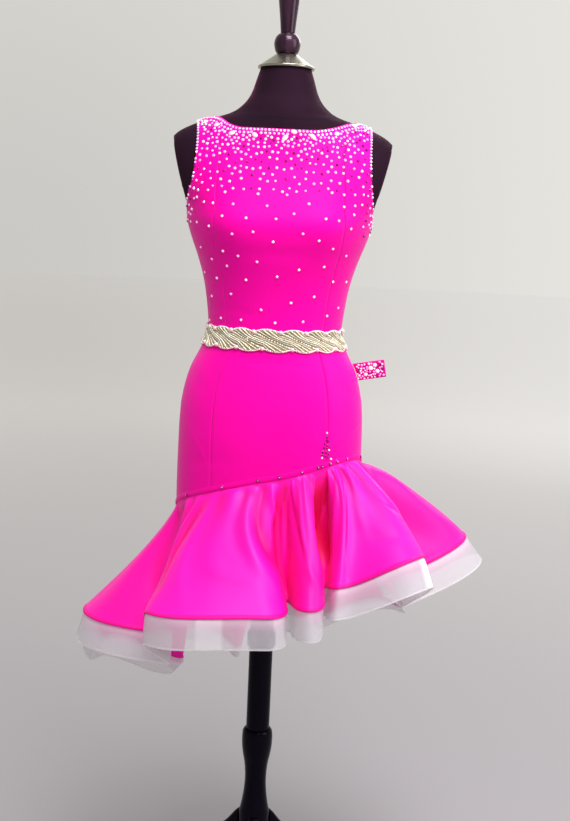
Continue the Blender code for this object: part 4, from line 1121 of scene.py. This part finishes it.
spindleProfile = [(1.7900, 0.0040), (1.7860, 0.0110), (1.7760, 0.0165), (1.7600, 0.0190), (1.7400, 0.0190),
                  (1.7190, 0.0176), (1.6920, 0.0145), (1.6653, 0.0120)]
ballProfile = [(1.6650, 0.0118), (1.6626, 0.0158), (1.6578, 0.0198), (1.6498, 0.0222), (1.6418, 0.0216),
               (1.6338, 0.0190), (1.6298, 0.0150)]
capProfile = [(1.6295, 0.0195), (1.6262, 0.0240), (1.6190, 0.0340), (1.6117, 0.0445), (1.6100, 0.0478),
              (1.6080, 0.0482), (1.6063, 0.0475)]
columnProfile = [(0.4300, 0.0232), (0.4265, 0.0262), (0.4200, 0.0276), (0.4080, 0.0280), (0.3950, 0.0274),
                 (0.3800, 0.0252), (0.3650, 0.0222), (0.3500, 0.0204), (0.3330, 0.0197), (0.3180, 0.0202),
                 (0.3020, 0.0217), (0.2865, 0.0240), (0.2750, 0.0262), (0.2680, 0.0280)]
columnFoot = [(0.1500, 0.0280), (0.1400, 0.0240), (0.1300, 0.0150), (0.1240, 0.0060)]
post = {"radius": 0.0213, "foot": 0.4303, "head": 0.7370, "rod": 0.0110, "rodFoot": 0.1800, "play": 0.0004,
        "collar": 0.0260, "collarFoot": 0.5880, "collarTall": 0.0270, "flange": 0.0450, "sleeve": 0.0290,
        "flangeFoot": 0.7000, "steps": 72}


def makeHardPieces():
    spunPiece("neckSpindle", rounded(spindleProfile, 30), mahogany, "form", "finial_spindle")
    spunPiece("neckBall", rounded(ballProfile, 24), mahogany, "form", "finial_ball")
    spunPiece("neckCap", rounded(capProfile, 26), nickel, "form", "neck_cap")
    shaft = [(post["head"], post["radius"] - 0.002), (post["head"] - 0.0006, post["radius"] - 0.0006),
             (post["head"] - 0.002, post["radius"]), (post["foot"] + 0.0006, post["radius"]),
             (post["foot"], post["radius"] - 0.0006), (post["foot"], post["rod"]),
             (post["rodFoot"] + 0.002, post["rod"]), (post["rodFoot"], post["rod"] - 0.002)]
    spunPiece("postTube", shaft, lacquer, "mast", "upper_post")
    inside, edge, foot = post["radius"] + 0.0003, 0.003, post["collarFoot"]
    top = foot + post["collarTall"]
    ring = [(foot, inside), (foot, post["collar"] - edge), (foot + 0.0009, post["collar"] - 0.0009),
            (foot + edge, post["collar"]), (top - edge, post["collar"]),
            (top - 0.0009, post["collar"] - 0.0009), (top, post["collar"] - edge), (top, inside),
            (foot, inside)]
    spunPiece("postCollar", ring, lacquer, "mast", "post_collar", closed=True)
    bore, floor = post["rod"] + post["play"], post["rodFoot"] - 0.001
    turned = [(floor, bore), (columnProfile[0][0], bore)]
    turned += rounded(columnProfile, 60) + rounded(columnFoot, 14)
    spunPiece("turnedColumn", turned, lacquer, "stand", "column")
    sleeve, plate, fillet = post["sleeve"], 0.0065, 0.003
    head = 0.7450 - dress["seamGap"]
    flange = [(head, post["flange"] - 0.001), (head - 0.001, post["flange"]), (head - plate, post["flange"]),
              (head - plate - fillet, sleeve + fillet), (head - plate - 2 * fillet, sleeve),
              (post["flangeFoot"] + 0.001, sleeve), (post["flangeFoot"], sleeve - 0.001),
              (post["flangeFoot"], post["radius"] + post["play"]),
              (post["head"] + dress["seamGap"], post["radius"] + post["play"])]
    spunPiece("formFlange", flange, lacquer, "form", "form_flange")


makeHardPieces()


def applyModifier(piece, kind, **settings):
    activate(piece)
    modifier = piece.modifiers.new(kind.title(), kind)
    for setting, value in settings.items():
        setattr(modifier, setting, value)
    bpy.ops.object.modifier_apply(modifier=modifier.name)


def bevelledCopy(node, width):
    piece = linked(node + "Copy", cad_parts[node].data.copy())
    activate(piece)
    bpy.ops.object.mode_set(mode="EDIT")
    bpy.ops.mesh.select_all(action="SELECT")
    bpy.ops.mesh.remove_doubles(threshold=0.00002)
    bpy.ops.mesh.tris_convert_to_quads(face_threshold=math.radians(60), shape_threshold=math.radians(60))
    bpy.ops.object.mode_set(mode="OBJECT")
    applyModifier(piece, "BEVEL", width=width, segments=2, limit_method="ANGLE", angle_limit=math.radians(30))
    return piece


def makeLegs():
    leg = {"bevel": 0.0016, "levels": 2, "smooth": 60.0}
    for node, name in (("leg_front", "legFront"), ("leg_left", "legLeft"), ("leg_right", "legRight")):
        piece = bevelledCopy(node, leg["bevel"])
        applyModifier(piece, "SUBSURF", levels=leg["levels"], render_levels=leg["levels"])
        finishPiece(piece, name, lacquer, "stand", node, leg["smooth"])


makeLegs()


def makeArmPlates():
    plate = {"bevel": 0.0009, "smooth": 45.0}
    for node, name in (("arm_plate_left", "armPlateLeft"), ("arm_plate_right", "armPlateRight")):
        piece = bevelledCopy(node, plate["bevel"])
        finishPiece(piece, name, jersey, "form", node, plate["smooth"])


makeArmPlates()


def makeScrew():
    # thumb screw with a fluted rim
    screw = {"turn": 165.0, "level": 0.4080, "reach": 0.0283, "shank": 0.0035, "head": 0.0078, "flutes": 14}
    angle = math.radians(screw["turn"])
    outward = Vector((math.sin(angle), -math.cos(angle), 0.0))
    aim = outward.to_track_quat("Z", "Y").to_matrix().to_4x4()
    deselectAll()
    bpy.ops.mesh.primitive_circle_add(vertices=screw["flutes"] * 4, radius=screw["shank"], fill_type="NGON")
    piece = bpy.context.object
    bpy.ops.object.mode_set(mode="EDIT")
    bpy.ops.mesh.select_all(action="SELECT")
    for rise, grow in ((0.004, 1.0), (0.0, screw["head"] / screw["shank"] * 0.9), (0.0012, 1 / 0.9),
                       (0.0052, 1.0), (0.0012, 0.88), (0.0010, 0.6)):
        bpy.ops.mesh.extrude_region_move(TRANSFORM_OT_translate={"value": (0, 0, rise)})
        bpy.ops.transform.resize(value=(grow, grow, 1.0))
    bpy.ops.object.mode_set(mode="OBJECT")
    for vertex in piece.data.vertices:
        radius = math.hypot(vertex.co.x, vertex.co.y)
        if radius > screw["head"] * 0.97:
            flute = 1 - 0.06 * (0.5 + 0.5 * math.cos(math.atan2(vertex.co.y, vertex.co.x) * screw["flutes"]))
            vertex.co.x *= flute
            vertex.co.y *= flute
    place = Vector(mast.tolist()) + outward * screw["reach"] + Vector((0, 0, screw["level"]))
    piece.matrix_world = Matrix.Translation(place) @ aim
    finishPiece(piece, "clampScrew", nickel, "stand", "clamp_screw", 40.0)


makeScrew()
print("dress form and stand finished")


# stones: one cut stone is modelled as rings of points, then set many times on the cloth
stone = {"sides": 8, "girdle": 0.22, "table": 0.52, "crown": 0.46}
pale = [(0.96, 0.56, 0.84), (0.97, 0.84, 0.94), (0.96, 0.44, 0.80), (0.84, 0.54, 0.96), (0.97, 0.66, 0.76),
        (0.82, 0.70, 0.97)]
dark = [(0.24, 0.0, 0.17), (0.36, 0.005, 0.27), (0.18, 0.0, 0.12)]


def stoneMesh(sides):
    angles = np.arange(sides) * 2 * math.pi / sides
    ring = np.stack([np.cos(angles), np.sin(angles), np.zeros(sides)], -1)
    half = angles + math.pi / sides
    table = np.stack([np.cos(half), np.sin(half), np.zeros(sides)], -1) * stone["table"]
    table = table + [0, 0, stone["crown"] + stone["girdle"]]
    points = np.concatenate([ring, ring + [0, 0, stone["girdle"]], table])
    faces = []
    for side in range(sides):
        after = (side + 1) % sides
        faces.append((side, after, sides + after, sides + side))
        faces.append((sides + side, sides + after, 2 * sides + side))
        faces.append((sides + after, 2 * sides + after, 2 * sides + side))
    faces.append(tuple(2 * sides + side for side in range(sides)))
    faces.append(tuple(range(sides))[::-1])
    return points, faces


def setStones(name, spots, normals, sizes, tints, long=None, ways=None, finish=None, template=None):
    # spots and normals are rows of points; each stone is turned its own way about its normal
    points, faces = template or stoneMesh(stone["sides"])
    dice = random.Random(name)
    allPoints, allFaces, allTints = [], [], []
    for index, (spot, normal) in enumerate(zip(spots, normals)):
        normal = Vector(normal).normalized()
        if ways is not None:
            across = Vector(ways[index])
        else:
            across = Matrix.Rotation(dice.uniform(0, 2 * math.pi), 3, normal) @ normal.orthogonal()
        across = (across - normal * across.dot(normal)).normalized()
        basis = np.array([across, normal.cross(across), normal])
        stretch = np.array([1.0 if long is None else long[index], 1.0, 1.0]) * sizes[index]
        allPoints.append((points * stretch) @ basis + spot)
        allFaces.extend([tuple(corner + index * len(points) for corner in face) for face in faces])
        allTints.extend([(*tints[index], 1.0)] * len(points))
    mesh = bpy.data.meshes.new(name)
    mesh.from_pydata((np.concatenate(allPoints) + mast).tolist(), [], allFaces)
    colour = mesh.color_attributes.new("tint", "FLOAT_COLOR", "POINT")
    colour.data.foreach_set("color", np.array(allTints, np.float32).reshape(-1))
    mesh.materials.append(finish or crystal)
    piece = linked(name, mesh)
    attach(piece, "form")
    return piece


def stoneTint(dice, darkShare):
    return dice.choice(dark) if dice.random() < darkShare else dice.choice(pale)


def alongEdge(place, acrosses, ups, spacing):
    # even places along an edge of the bodice, given by its own across and up
    turn, height = place(np.asarray(acrosses, float), np.asarray(ups, float))
    points = skinPoint(turn, height)
    length = runLengths(points)
    at = np.arange(spacing / 2, length[-1], spacing)
    return np.interp(at, length, turn), np.interp(at, length, height)


# rows of stones along the bodice's edges: how far in, and their spacing
edging = {"neck": ((0.0028, 0.0062), (0.0082, 0.0072)), "spacing": 0.0058, "armShare": 0.14, "armIn": 0.0032,
          "armRowIn": 0.0030, "shoulderUp": 0.992, "fromEnds": 0.002}


def bodiceEdges():
    fine = np.linspace(-dress["neckShare"], dress["neckShare"], 400)
    rise = np.linspace(0.50, 0.99, 300)
    shoulder = np.linspace(dress["neckShare"], 1.0, 40)
    armIn, rowIn = (1 - edging[key] / edging["armShare"] for key in ("armIn", "armRowIn"))
    low, high = dress["underarm"] + edging["fromEnds"], dress["shoulder"] - edging["fromEnds"]
    rows = []
    for place, centre in ((frontPlace, dress["frontNeck"]), (backPlace, dress["backNeck"])):
        for inset, spacing in edging["neck"]:
            up = 1 - inset / (bodiceTop(fine, centre) - dress["waistSeam"])
            rows.append(("neck", *alongEdge(place, fine, up, spacing)))
        for hand in (-1, 1):
            height = place(hand * armIn + 0 * rise, rise)[1]
            keep = rise[(height > low) & (height < high)]
            rows.append(("arm", *alongEdge(place, hand * rowIn + 0 * keep, keep, edging["spacing"])))
        # the back's shoulder edges lie on the front's
        for hand in (-1, 1) if place is frontPlace else ():
            up = edging["shoulderUp"] + 0 * shoulder
            rows.append(("shoulder", *alongEdge(place, hand * shoulder, up, edging["spacing"])))
    return rows


def edgeDistances(points, rows):
    far = {kind: np.full(len(points), 9.0) for kind in ("neck", "arm", "shoulder")}
    for kind, rowTurn, rowHeight in rows:
        edge = skinPoint(rowTurn, rowHeight)
        for start in range(0, len(points), 500):
            part = slice(start, start + 500)
            gap = np.linalg.norm(points[part, None] - edge[None], axis=-1).min(axis=1)
            far[kind][part] = np.minimum(far[kind][part], gap)
    return far


# lone stones and large ovals, by where they show in the view: across and down
loneStones = [
    (208, 190), (225, 192), (246, 190), (258, 194), (287, 195), (307, 189), (332, 193), (344, 195),
    (355, 195), (197, 197), (204, 202), (213, 203), (233, 204), (267, 206), (309, 204), (344, 207),
    (355, 206), (362, 205), (191, 214), (197, 222), (222, 216), (246, 218), (276, 219), (294, 214),
    (326, 219), (339, 221), (354, 215), (351, 229), (363, 227), (209, 226), (232, 234), (253, 232),
    (273, 242), (303, 234), (319, 241), (333, 249), (201, 247), (223, 251), (212, 259), (238, 256),
    (257, 262), (346, 256), (227, 266), (299, 270), (324, 267), (217, 278), (246, 280), (277, 277),
    (333, 282), (346, 282), (205, 272), (212, 296), (231, 294), (314, 297), (291, 303), (261, 310),
    (221, 318), (241, 320), (275, 323), (303, 322), (327, 316), (338, 308), (210, 320),
]
# across, down, how much longer than wide, lean in degrees
largeStones = [(217, 125, 1.4, 10), (232, 133, 1.5, 20), (255, 135, 1.3, -35), (285, 138, 1.7, 50),
               (294, 132, 1.4, -10), (313, 137, 1.6, -45), (337, 134, 1.2, 30), (354, 126, 1.4, 5),
               (206, 122, 1.3, 60), (364, 124, 1.3, -50)]
darkStones = [(267, 151), (256, 159), (269, 168), (286, 161), (302, 168), (294, 153), (318, 159), (286, 179),
              (252, 175), (342, 146), (323, 149), (344, 155), (322, 174), (352, 176), (274, 140), (261, 138),
              (236, 162), (244, 146), (229, 154), (224, 170), (337, 165), (358, 161), (368, 174), (363, 146),
              (370, 190), (368, 205), (366, 221), (364, 236), (371, 181), (367, 213), (190, 199), (188, 226)]
hemStones = [(187, 500), (222, 489), (258, 482), (280, 476), (303, 469), (319, 463), (331, 460), (347, 454),
             (360, 453), (323, 461), (338, 457)]
clusterStones = [(327, 433), (329, 450), (331, 459), (322, 458)]
clusterDark = [(327, 437), (326, 440), (328, 441), (325, 444), (328, 445), (324, 448), (327, 448), (330, 447),
               (323, 452), (326, 452), (329, 454), (322, 455), (325, 456), (328, 457)]


def joinedTree(grids):
    points, faces = [], []
    start = 0
    for grid in grids:
        points.extend((grid.reshape(-1, 3) + mast).tolist())
        faces.extend((quadArray(grid.shape[0], grid.shape[1], False) + start).tolist())
        start += grid.shape[0] * grid.shape[1]
    return BVHTree.FromPolygons(points, faces)


def seenOn(tree, pixels):
    lift = 0.0002
    spots, normals = [], []
    for across, down in pixels:
        origin, aim = viewRay(across, down)
        spot, normal, _, _ = tree.ray_cast(origin, aim)
        if spot is None:
            continue
        normal = normal if normal.dot(aim) < 0 else -normal
        spots.append(np.array(spot) - mast + np.array(normal) * lift)
        normals.append(np.array(normal))
    return spots, normals


# sizes are radii in metres, and gaps run from middle to middle
scatter = {"oval": 0.0038, "edge": (0.0020, 0.0024), "dark": 0.0024, "dense": (0.0018, 0.0026),
           "lone": 0.0023, "back": 0.0022, "edgeGap": 0.0041, "edgeOvalGap": 0.0062, "darkGap": 0.0050,
           "ovalGap": 0.0068, "loneGap": 0.0075, "lowArm": 1.455, "candidates": 26000, "backTries": 900}


def scatterBodice():
    dice = random.Random(41)
    rows = bodiceEdges()
    surface = clothOut + 0.0001
    tree = joinedTree([panel[1] for panel in panels[:5]])
    taken, stones = [], []

    def put(spot, way, size, tint, long=1.0, lean=None):
        if lean is None:
            angle = dice.uniform(0, math.pi)
            lean = (math.cos(angle), 0.02, math.sin(angle))
        taken.append(spot)
        stones.append((way, size, tint, long, lean))

    def gapsFrom(spot):
        return np.linalg.norm(np.array(taken) - spot, axis=1)

    spots, ways = seenOn(tree, [oval[:2] for oval in largeStones])
    for spot, way, oval in zip(spots, ways, largeStones):
        lean = math.radians(oval[3])
        put(spot, way, scatter["oval"], pale[1], oval[2], (math.cos(lean), 0.0, math.sin(lean)))
    ovals = len(largeStones)
    for kind, turn, height in rows:
        spots = clothPoint(turn, height, np.full_like(turn, surface))
        ways = skinNormal(turn, height)
        for spot, way in zip(spots, ways):
            gaps = gapsFrom(spot)
            low = kind == "arm" and spot[2] < scatter["lowArm"]
            if gaps.min() < scatter["edgeGap"] or gaps[:ovals].min() < scatter["edgeOvalGap"]:
                continue
            # every third stone or so is missing low on the armholes
            if low and dice.random() < 0.3:
                continue
            put(spot, way, dice.uniform(*scatter["edge"]), stoneTint(dice, 0.25 if low else 0.0))
    for spot, way in zip(*seenOn(tree, darkStones)):
        if gapsFrom(spot).min() > scatter["darkGap"]:
            put(spot, way, scatter["dark"], dark[len(taken) % 3])
    # candidates for the dense part, kept where they stand far enough from the rest
    picks = np.random.default_rng(7)
    count = scatter["candidates"]
    across = picks.uniform(-0.98, 0.98, count)
    up = picks.uniform(0.45, 0.985, count)
    front = picks.random(count) < 0.6
    frontTurn, frontHeight = frontPlace(across, up)
    backTurn, backHeight = backPlace(across, up)
    turn = np.where(front, frontTurn, backTurn)
    height = np.where(front, frontHeight, backHeight)
    points = clothPoint(turn, height, np.full_like(turn, surface))
    ways = skinNormal(turn, height)
    far = edgeDistances(points, rows)
    neck = np.minimum(far["neck"], far["shoulder"])
    reachDown = np.where(front, 0.098, 0.070)
    spacing = np.interp(neck, [0.0, 0.012, 0.025, 0.050, 0.075, 0.100],
                        [0.0049, 0.0054, 0.0070, 0.0092, 0.0108, 0.0134])
    armSpacing = np.interp(far["arm"], [0.0, 0.010, 0.020, 0.030], [0.0066, 0.0086, 0.0120, 0.0180])
    nearArm = (far["arm"] < 0.024) & (height > 1.345)
    spacing = np.where(neck < reachDown, np.minimum(spacing, np.where(nearArm, armSpacing, 9.0)), armSpacing)
    allowed = (neck < reachDown) | nearArm
    for index in np.flatnonzero(allowed):
        gaps = gapsFrom(points[index])
        if gaps.min() < spacing[index] or gaps[:ovals].min() < scatter["ovalGap"]:
            continue
        put(points[index], ways[index], dice.uniform(*scatter["dense"]), stoneTint(dice, 0.09))
    for spot, way in zip(*seenOn(tree, loneStones)):
        if gapsFrom(spot).min() > scatter["loneGap"]:
            put(spot, way, scatter["lone"], pale[dice.randrange(2)])
    # lone stones on the back, spread as on the front
    for _ in range(scatter["backTries"]):
        backAcross, backUp = dice.uniform(-0.95, 0.95), dice.uniform(0.10, 0.78)
        turnHere, heightHere = backPlace(backAcross, backUp)
        spot = clothPoint(turnHere, heightHere, np.full_like(turnHere, surface))
        if gapsFrom(spot).min() < 0.030 + 0.020 * (0.78 - backUp):
            continue
        put(spot, skinNormal(turnHere, heightHere), scatter["back"], pale[dice.randrange(2)])
    normals, sizes, tints, longs, leans = zip(*stones)
    piece = setStones("bodiceStones", taken, normals, sizes, tints, long=longs, ways=leans)
    print("stones on the bodice:", len(taken))


scatterBodice()


# the strip's stones are looked for some pixels above its seam, so that each ray meets the skirt
seamStones = {"pale": 0.0018, "dark": 0.0021, "setting": 0.0029, "middle": 0.0015, "proud": 0.0010,
              "aboveSeam": 8, "hidden": (100.0, 262.0, 15.5)}


def setSkirtStones():
    tree = joinedTree([panel[1] for panel in panels[5:]])
    spots, normals = seenOn(tree, clusterStones + clusterDark)
    light = len(clusterStones)
    tints = [pale[1]] * light + [dark[index % 3] for index in range(len(spots) - light)]
    sizes = [seamStones["pale"]] * light + [seamStones["dark"]] * (len(spots) - light)
    piece = setStones("seamCluster", spots, normals, sizes, tints)
    seen = []
    for across, down in hemStones:
        origin, aim = viewRay(across, down - seamStones["aboveSeam"])
        spot = tree.ray_cast(origin, aim)[0]
        if spot is not None:
            seen.append(math.degrees(math.atan2(spot.x - mast[0], -(spot.y - mast[1]))))
    # the outline's own turn is found from each point's bearing
    bearings = np.linspace(-120, 240, 1441)
    ring = skinPoint(bearings, hipSeam(bearings))
    looked = np.degrees(np.unwrap(np.arctan2(ring[:, 0], -ring[:, 1])))
    turns = np.concatenate([np.interp(seen, looked, bearings), np.arange(*seamStones["hidden"])])
    out = np.full_like(turns, clothOut + dress["seamGap"] + strip["thick"] + 0.0006)
    # a small pale stone in a dark setting
    spots = [clothPoint(turns, hipSeam(turns) + 0.0005, out + lift) for lift in (0.0, seamStones["proud"])]
    normals = np.concatenate([skinNormal(turns, hipSeam(turns))] * 2)
    sizes = [seamStones["setting"]] * len(turns) + [seamStones["middle"]] * len(turns)
    tints = [tones[index % 3] for tones in (dark, pale) for index in range(len(turns))]
    piece = setStones("stripStones", np.concatenate(spots), normals, sizes, tints)


setSkirtStones()
print("stones set")


# belt: a scalloped braid of slanting beaded strands
belt = {"tall": 0.0375, "middle": 1.1535, "lobes": 17, "start": 5.0, "scallop": 0.0060, "gap": 0.0007,
        "lean": 1.40, "strands": 5, "beads": 36, "small": 0.00128, "large": 0.00165, "knob": 0.0042,
        "oval": 1.15, "knobShare": 1.12, "edgeBeads": 16}
beadTints = {"silver": (0.86, 0.82, 0.68), "gold": (0.50, 0.40, 0.20), "green": (0.56, 0.56, 0.40),
             "pink": (0.98, 0.66, 0.70), "white": (0.97, 0.86, 0.80)}


def beadMesh(segments, rings):
    deselectAll()
    bpy.ops.mesh.primitive_uv_sphere_add(segments=segments, ring_count=rings, radius=1.0)
    ball = bpy.context.object
    points = np.array([vertex.co for vertex in ball.data.vertices])
    faces = [tuple(face.vertices) for face in ball.data.polygons]
    bpy.data.objects.remove(ball, do_unlink=True)
    return points, faces


def scallopAt(turn, phase=0.0):
    lobe = np.abs(np.sin(((np.asarray(turn) - belt["start"]) / 360.0 * belt["lobes"] - phase) * math.pi))
    return belt["scallop"] * (1 - lobe ** 0.75)


def beltPoint(turn, share, out):
    # share runs from -1 at the lower edge to 1 at the upper edge
    turn, share = np.broadcast_arrays(np.asarray(turn, float), np.asarray(share, float))
    half = belt["tall"] / 2 - np.where(share > 0, scallopAt(turn), scallopAt(turn, belt["lean"] % 1))
    return clothPoint(turn, belt["middle"] + share * half, out)


def strandLean(down):
    return belt["lean"] * (down - 0.055 * np.sin(down * 2 * math.pi))


def makeBelt():
    base = clothOut + belt["gap"]
    period = 360.0 / belt["lobes"]
    turn, share = np.meshgrid(np.linspace(0, 360, 704, endpoint=False), np.linspace(1, -1, 20))
    dome = np.abs(np.sin(((turn - belt["start"]) / period - strandLean((1 - share) / 2)) * math.pi)) ** 0.6
    outer = beltPoint(turn, share, base + 0.0006 + 0.0011 * dome + 0.0004 * (1 - share ** 2))
    inner = beltPoint(turn, share, np.full_like(turn, base))
    # the seam mark here is painted shade in the grooves between the domed bundles
    piece = shellPiece("beltBraid", outer, inner, braid, ring=True, marks={"seam": 1 - dome})
    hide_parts("waist_belt")
    long = ringLength(outer[9])
    round(min(sheetArea(outer, True), long * 0.036), 5)
    dice = random.Random(12)
    placed = []

    def put(turn, share, out, size, tint, long=1.0, ahead=None):
        spot = beltPoint(turn, share, out)
        way = (beltPoint(turn + 0.5, share, out) if ahead is None else ahead) - spot
        normal = skinNormal(np.asarray(turn, float), np.asarray(spot[2]))
        placed.append((spot, normal, size, beadTints[tint], long, way))

    def putStrand(place, count, reach, out, size, tint, odd):
        # beads down one slanting strand, place is in lobes round the belt at its top
        for step in range(count):
            down = step / (count - 1)
            here, after = ((belt["start"] + (place + strandLean(at)) * period, reach * (1 - 2 * at))
                           for at in (down, down + 0.03))
            shade = dice.choice(("green", "white", "gold")) if dice.random() < odd else tint
            put(*here, out, size, shade, belt["oval"], beltPoint(*after, out))

    for lobe in range(belt["lobes"]):
        # pale cord between the bundles
        putStrand(lobe, 21, 0.96, base + 0.0012, belt["large"], "white", 0.2)
        for strand in range(1, belt["strands"]):
            place = strand / belt["strands"]
            crown = 0.0026 * math.sin(math.pi * place) ** 0.8
            tint = "green" if strand in (1, belt["strands"] - 1) else "silver"
            putStrand(lobe + place, belt["beads"], 0.92, base + 0.0004 + crown, belt["small"], tint, 0.06)
        # a knob in each dip, the lower ones further round than the upper ones
        for lean, share in ((0.0, belt["knobShare"]), (belt["lean"], -belt["knobShare"])):
            put(belt["start"] + (lobe + lean) * period, share, base + 0.0016, belt["knob"], "pink")
    edgeCount = belt["lobes"] * belt["edgeBeads"]
    for index in range(edgeCount):
        for share in (-1.0, 1.0):
            lean = 0.0 if share > 0 else belt["lean"] * period
            turnHere = belt["start"] + 360.0 * (index + 0.5) / edgeCount + lean
            put(turnHere, share, base + 0.0012, belt["large"], "pink" if index % 2 else "white", 1.2)
    spots, normals, sizes, tints, longs, ways = zip(*placed)
    piece = setStones("beltBeads", spots, normals, sizes, tints, long=longs, ways=ways, finish=beads,
                      template=beadMesh(6, 4))
    piece.data.shade_smooth()
    print("beads on the belt:", len(spots))


makeBelt()


# stoned tab at the hip
tab = {"tall": 0.0300, "long": 0.0555, "level": 1.0965, "wall": 0.0016, "gap": 0.0036, "tilt": 10.5,
       "standoff": 0.0012, "rows": 14, "steps": 22, "bendSteps": 12, "proud": 0.0004, "between": 0.00035,
       "small": (0.0013, 0.0023), "tries": 2500}
# large stones on the tab: how far along, how far up, size
tabLarge = [(0.030, 0.004, 0.0042), (0.041, -0.003, 0.0038), (0.038, 0.0085, 0.0036), (0.020, -0.006, 0.0034)]


def makeTab():
    tilt = math.radians(tab["tilt"])
    along = np.array([math.cos(tilt), 0.0, math.sin(tilt)])
    upward = np.array([-math.sin(tilt), 0.0, math.cos(tilt)])
    centre = np.array([clothPoint(90.0, tab["level"], 0.0)[0], 0.0, tab["level"]])
    rise = np.linspace(-0.5, 0.5, tab["rows"]) * tab["tall"]
    cloth = clothPoint(90.0, tab["level"] + rise, clothOut + dress["seamGap"])
    foot = cloth[:, 0] + tab["standoff"]
    root = (foot - (centre[0] + upward[0] * rise)) / along[0]
    grids = []
    half = tab["gap"] / 2
    bend = tab["long"] - half - tab["wall"]
    for radius in (half + tab["wall"], half):
        rows = []
        for index in range(tab["rows"]):
            near = np.linspace(root[index], bend, tab["steps"])[:-1]
            arc = np.linspace(-math.pi / 2, math.pi / 2, tab["bendSteps"])
            reach = np.concatenate([near, bend + radius * np.cos(arc), near[::-1]])
            level = np.full(len(near), radius)
            depth = np.concatenate([-level, radius * np.sin(arc), level])
            wave = 0.0005 * np.sin(reach * 160 + rise[index] * 90)
            rows.append(centre + upward * rise[index] + along * reach[:, None]
                        + np.stack([0 * depth, depth + wave, 0 * depth], -1))
        grids.append(np.array(rows))
    piece = shellPiece("hipTab", grids[0], grids[1], lycra, marks={"seam": np.full(grids[0].shape[:2], 2.2)})
    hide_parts("hip_tab")
    dice = random.Random(21)
    spots, normals, sizes, tints = [], [], [], []

    def spotAt(reach, lift, side):
        aside = side * (half + tab["wall"] + tab["proud"])
        return centre + along * reach + upward * lift + np.array([0, aside, 0])

    def put(spot, side, size, tint):
        spots.append(spot)
        normals.append((0.0, side, 0.0))
        sizes.append(size)
        tints.append(tint)

    for side in (-1, 1):
        for reach, lift, size in tabLarge:
            put(spotAt(reach, lift, side), side, size, pale[1])
        for _ in range(tab["tries"]):
            reach = dice.uniform(0.006, tab["long"] - 0.004)
            lift = dice.uniform(-0.5, 0.5) * (tab["tall"] - 0.004)
            spot = spotAt(reach, lift, side)
            size = dice.uniform(*tab["small"])
            gaps = [np.linalg.norm(spot - other) - size - otherSize for other, otherSize in zip(spots, sizes)]
            if min(gaps) >= tab["between"]:
                put(spot, side, size, stoneTint(dice, 0.30))
    piece = setStones("tabStones", spots, normals, sizes, tints)


makeTab()
print("belt and tab finished")


# studio
def makeStudio():
    studio = {"near": (0.34, 0.33, 0.34), "far": (0.86, 0.84, 0.82), "horizon": (0.60, 0.585, 0.56),
              "above": (0.70, 0.69, 0.64), "lit": (0.80, 0.79, 0.75), "room": (0.46, 0.45, 0.44)}
    bpy.context.scene.view_settings.view_transform = "Standard"
    deselectAll()
    bpy.ops.mesh.primitive_circle_add(vertices=96, radius=30.0, fill_type="NGON", location=(0, 0, -0.0005))
    floor = bpy.context.object
    floor.name = "studioFloor"
    finish = Finish("paleFloor", Roughness=0.9, Specular_IOR_Level=0.2, Emission_Strength=1.0)
    length = finish.add("ShaderNodeVectorMath", {"operation": "LENGTH"}, {0: finish.own()}, 1)
    away, far = length.fromTo(0.4, 7.0), length.fromTo(3.0, 30.0)
    # the floor is painted darker near the stand, a painted shade that evens out the lamps' pool of light
    finish.wear("Base Color", finish.mix(away, studio["near"], studio["far"]))
    # a faint painted glow carries the floor into the wall, with more painted light to the right
    left = 0.02 + away * 0.06 + far * 0.035
    right = away * 0.28 + far * 0.012
    aside = (finish.parts(finish.own())[0] / length).fromTo(-0.25, 0.35)
    finish.wear("Emission Color", left + (right - left) * aside)
    floor.data.materials.append(finish.material)
    world = bpy.data.worlds.new("studioWorld")
    bpy.context.scene.world = world
    sky = Shading(world, "Background", {"Strength": 1.0})
    across, back, up = sky.parts(sky.add("ShaderNodeTexCoord", output="Generated"))
    # the wall behind grows lighter with height, and a little lighter to the right
    wall = sky.mix(up.fromTo(-0.02, 0.35), studio["horizon"], studio["above"])
    wall = sky.mix(across.fromTo(-0.25, 0.35), wall, studio["lit"])
    # the room in front of the wall is dimmer
    sky.wear("Color", sky.mix(back.fromTo(-0.2, 0.85), studio["room"], wall))
    # name, place about the mast, width, height, watts, colour
    lamps = [("keyLamp", (0.5, -1.5, 3.7), 1.5, 1.5, 134.0, (1.0, 0.97, 1.0)),
             ("sideLamp", (2.3, -0.9, 2.1), 1.2, 2.0, 30.0, (1.0, 0.96, 1.0)),
             ("backLamp", (1.1, 2.3, 2.8), 1.6, 1.4, 27.0, (1.0, 0.98, 0.99))]
    for name, place, wide, tall, watts, colour in lamps:
        light = bpy.data.lights.new(name, "AREA")
        light.shape = "RECTANGLE"
        light.size = wide
        light.size_y = tall
        light.energy = watts
        light.color = colour
        lamp = linked(name, light)
        lamp.location = Vector(place) + Vector(mast.tolist())
        aim = Vector((mast[0], mast[1], 1.15)) - lamp.location
        lamp.rotation_euler = aim.to_track_quat("-Z", "Y").to_euler()


makeStudio()
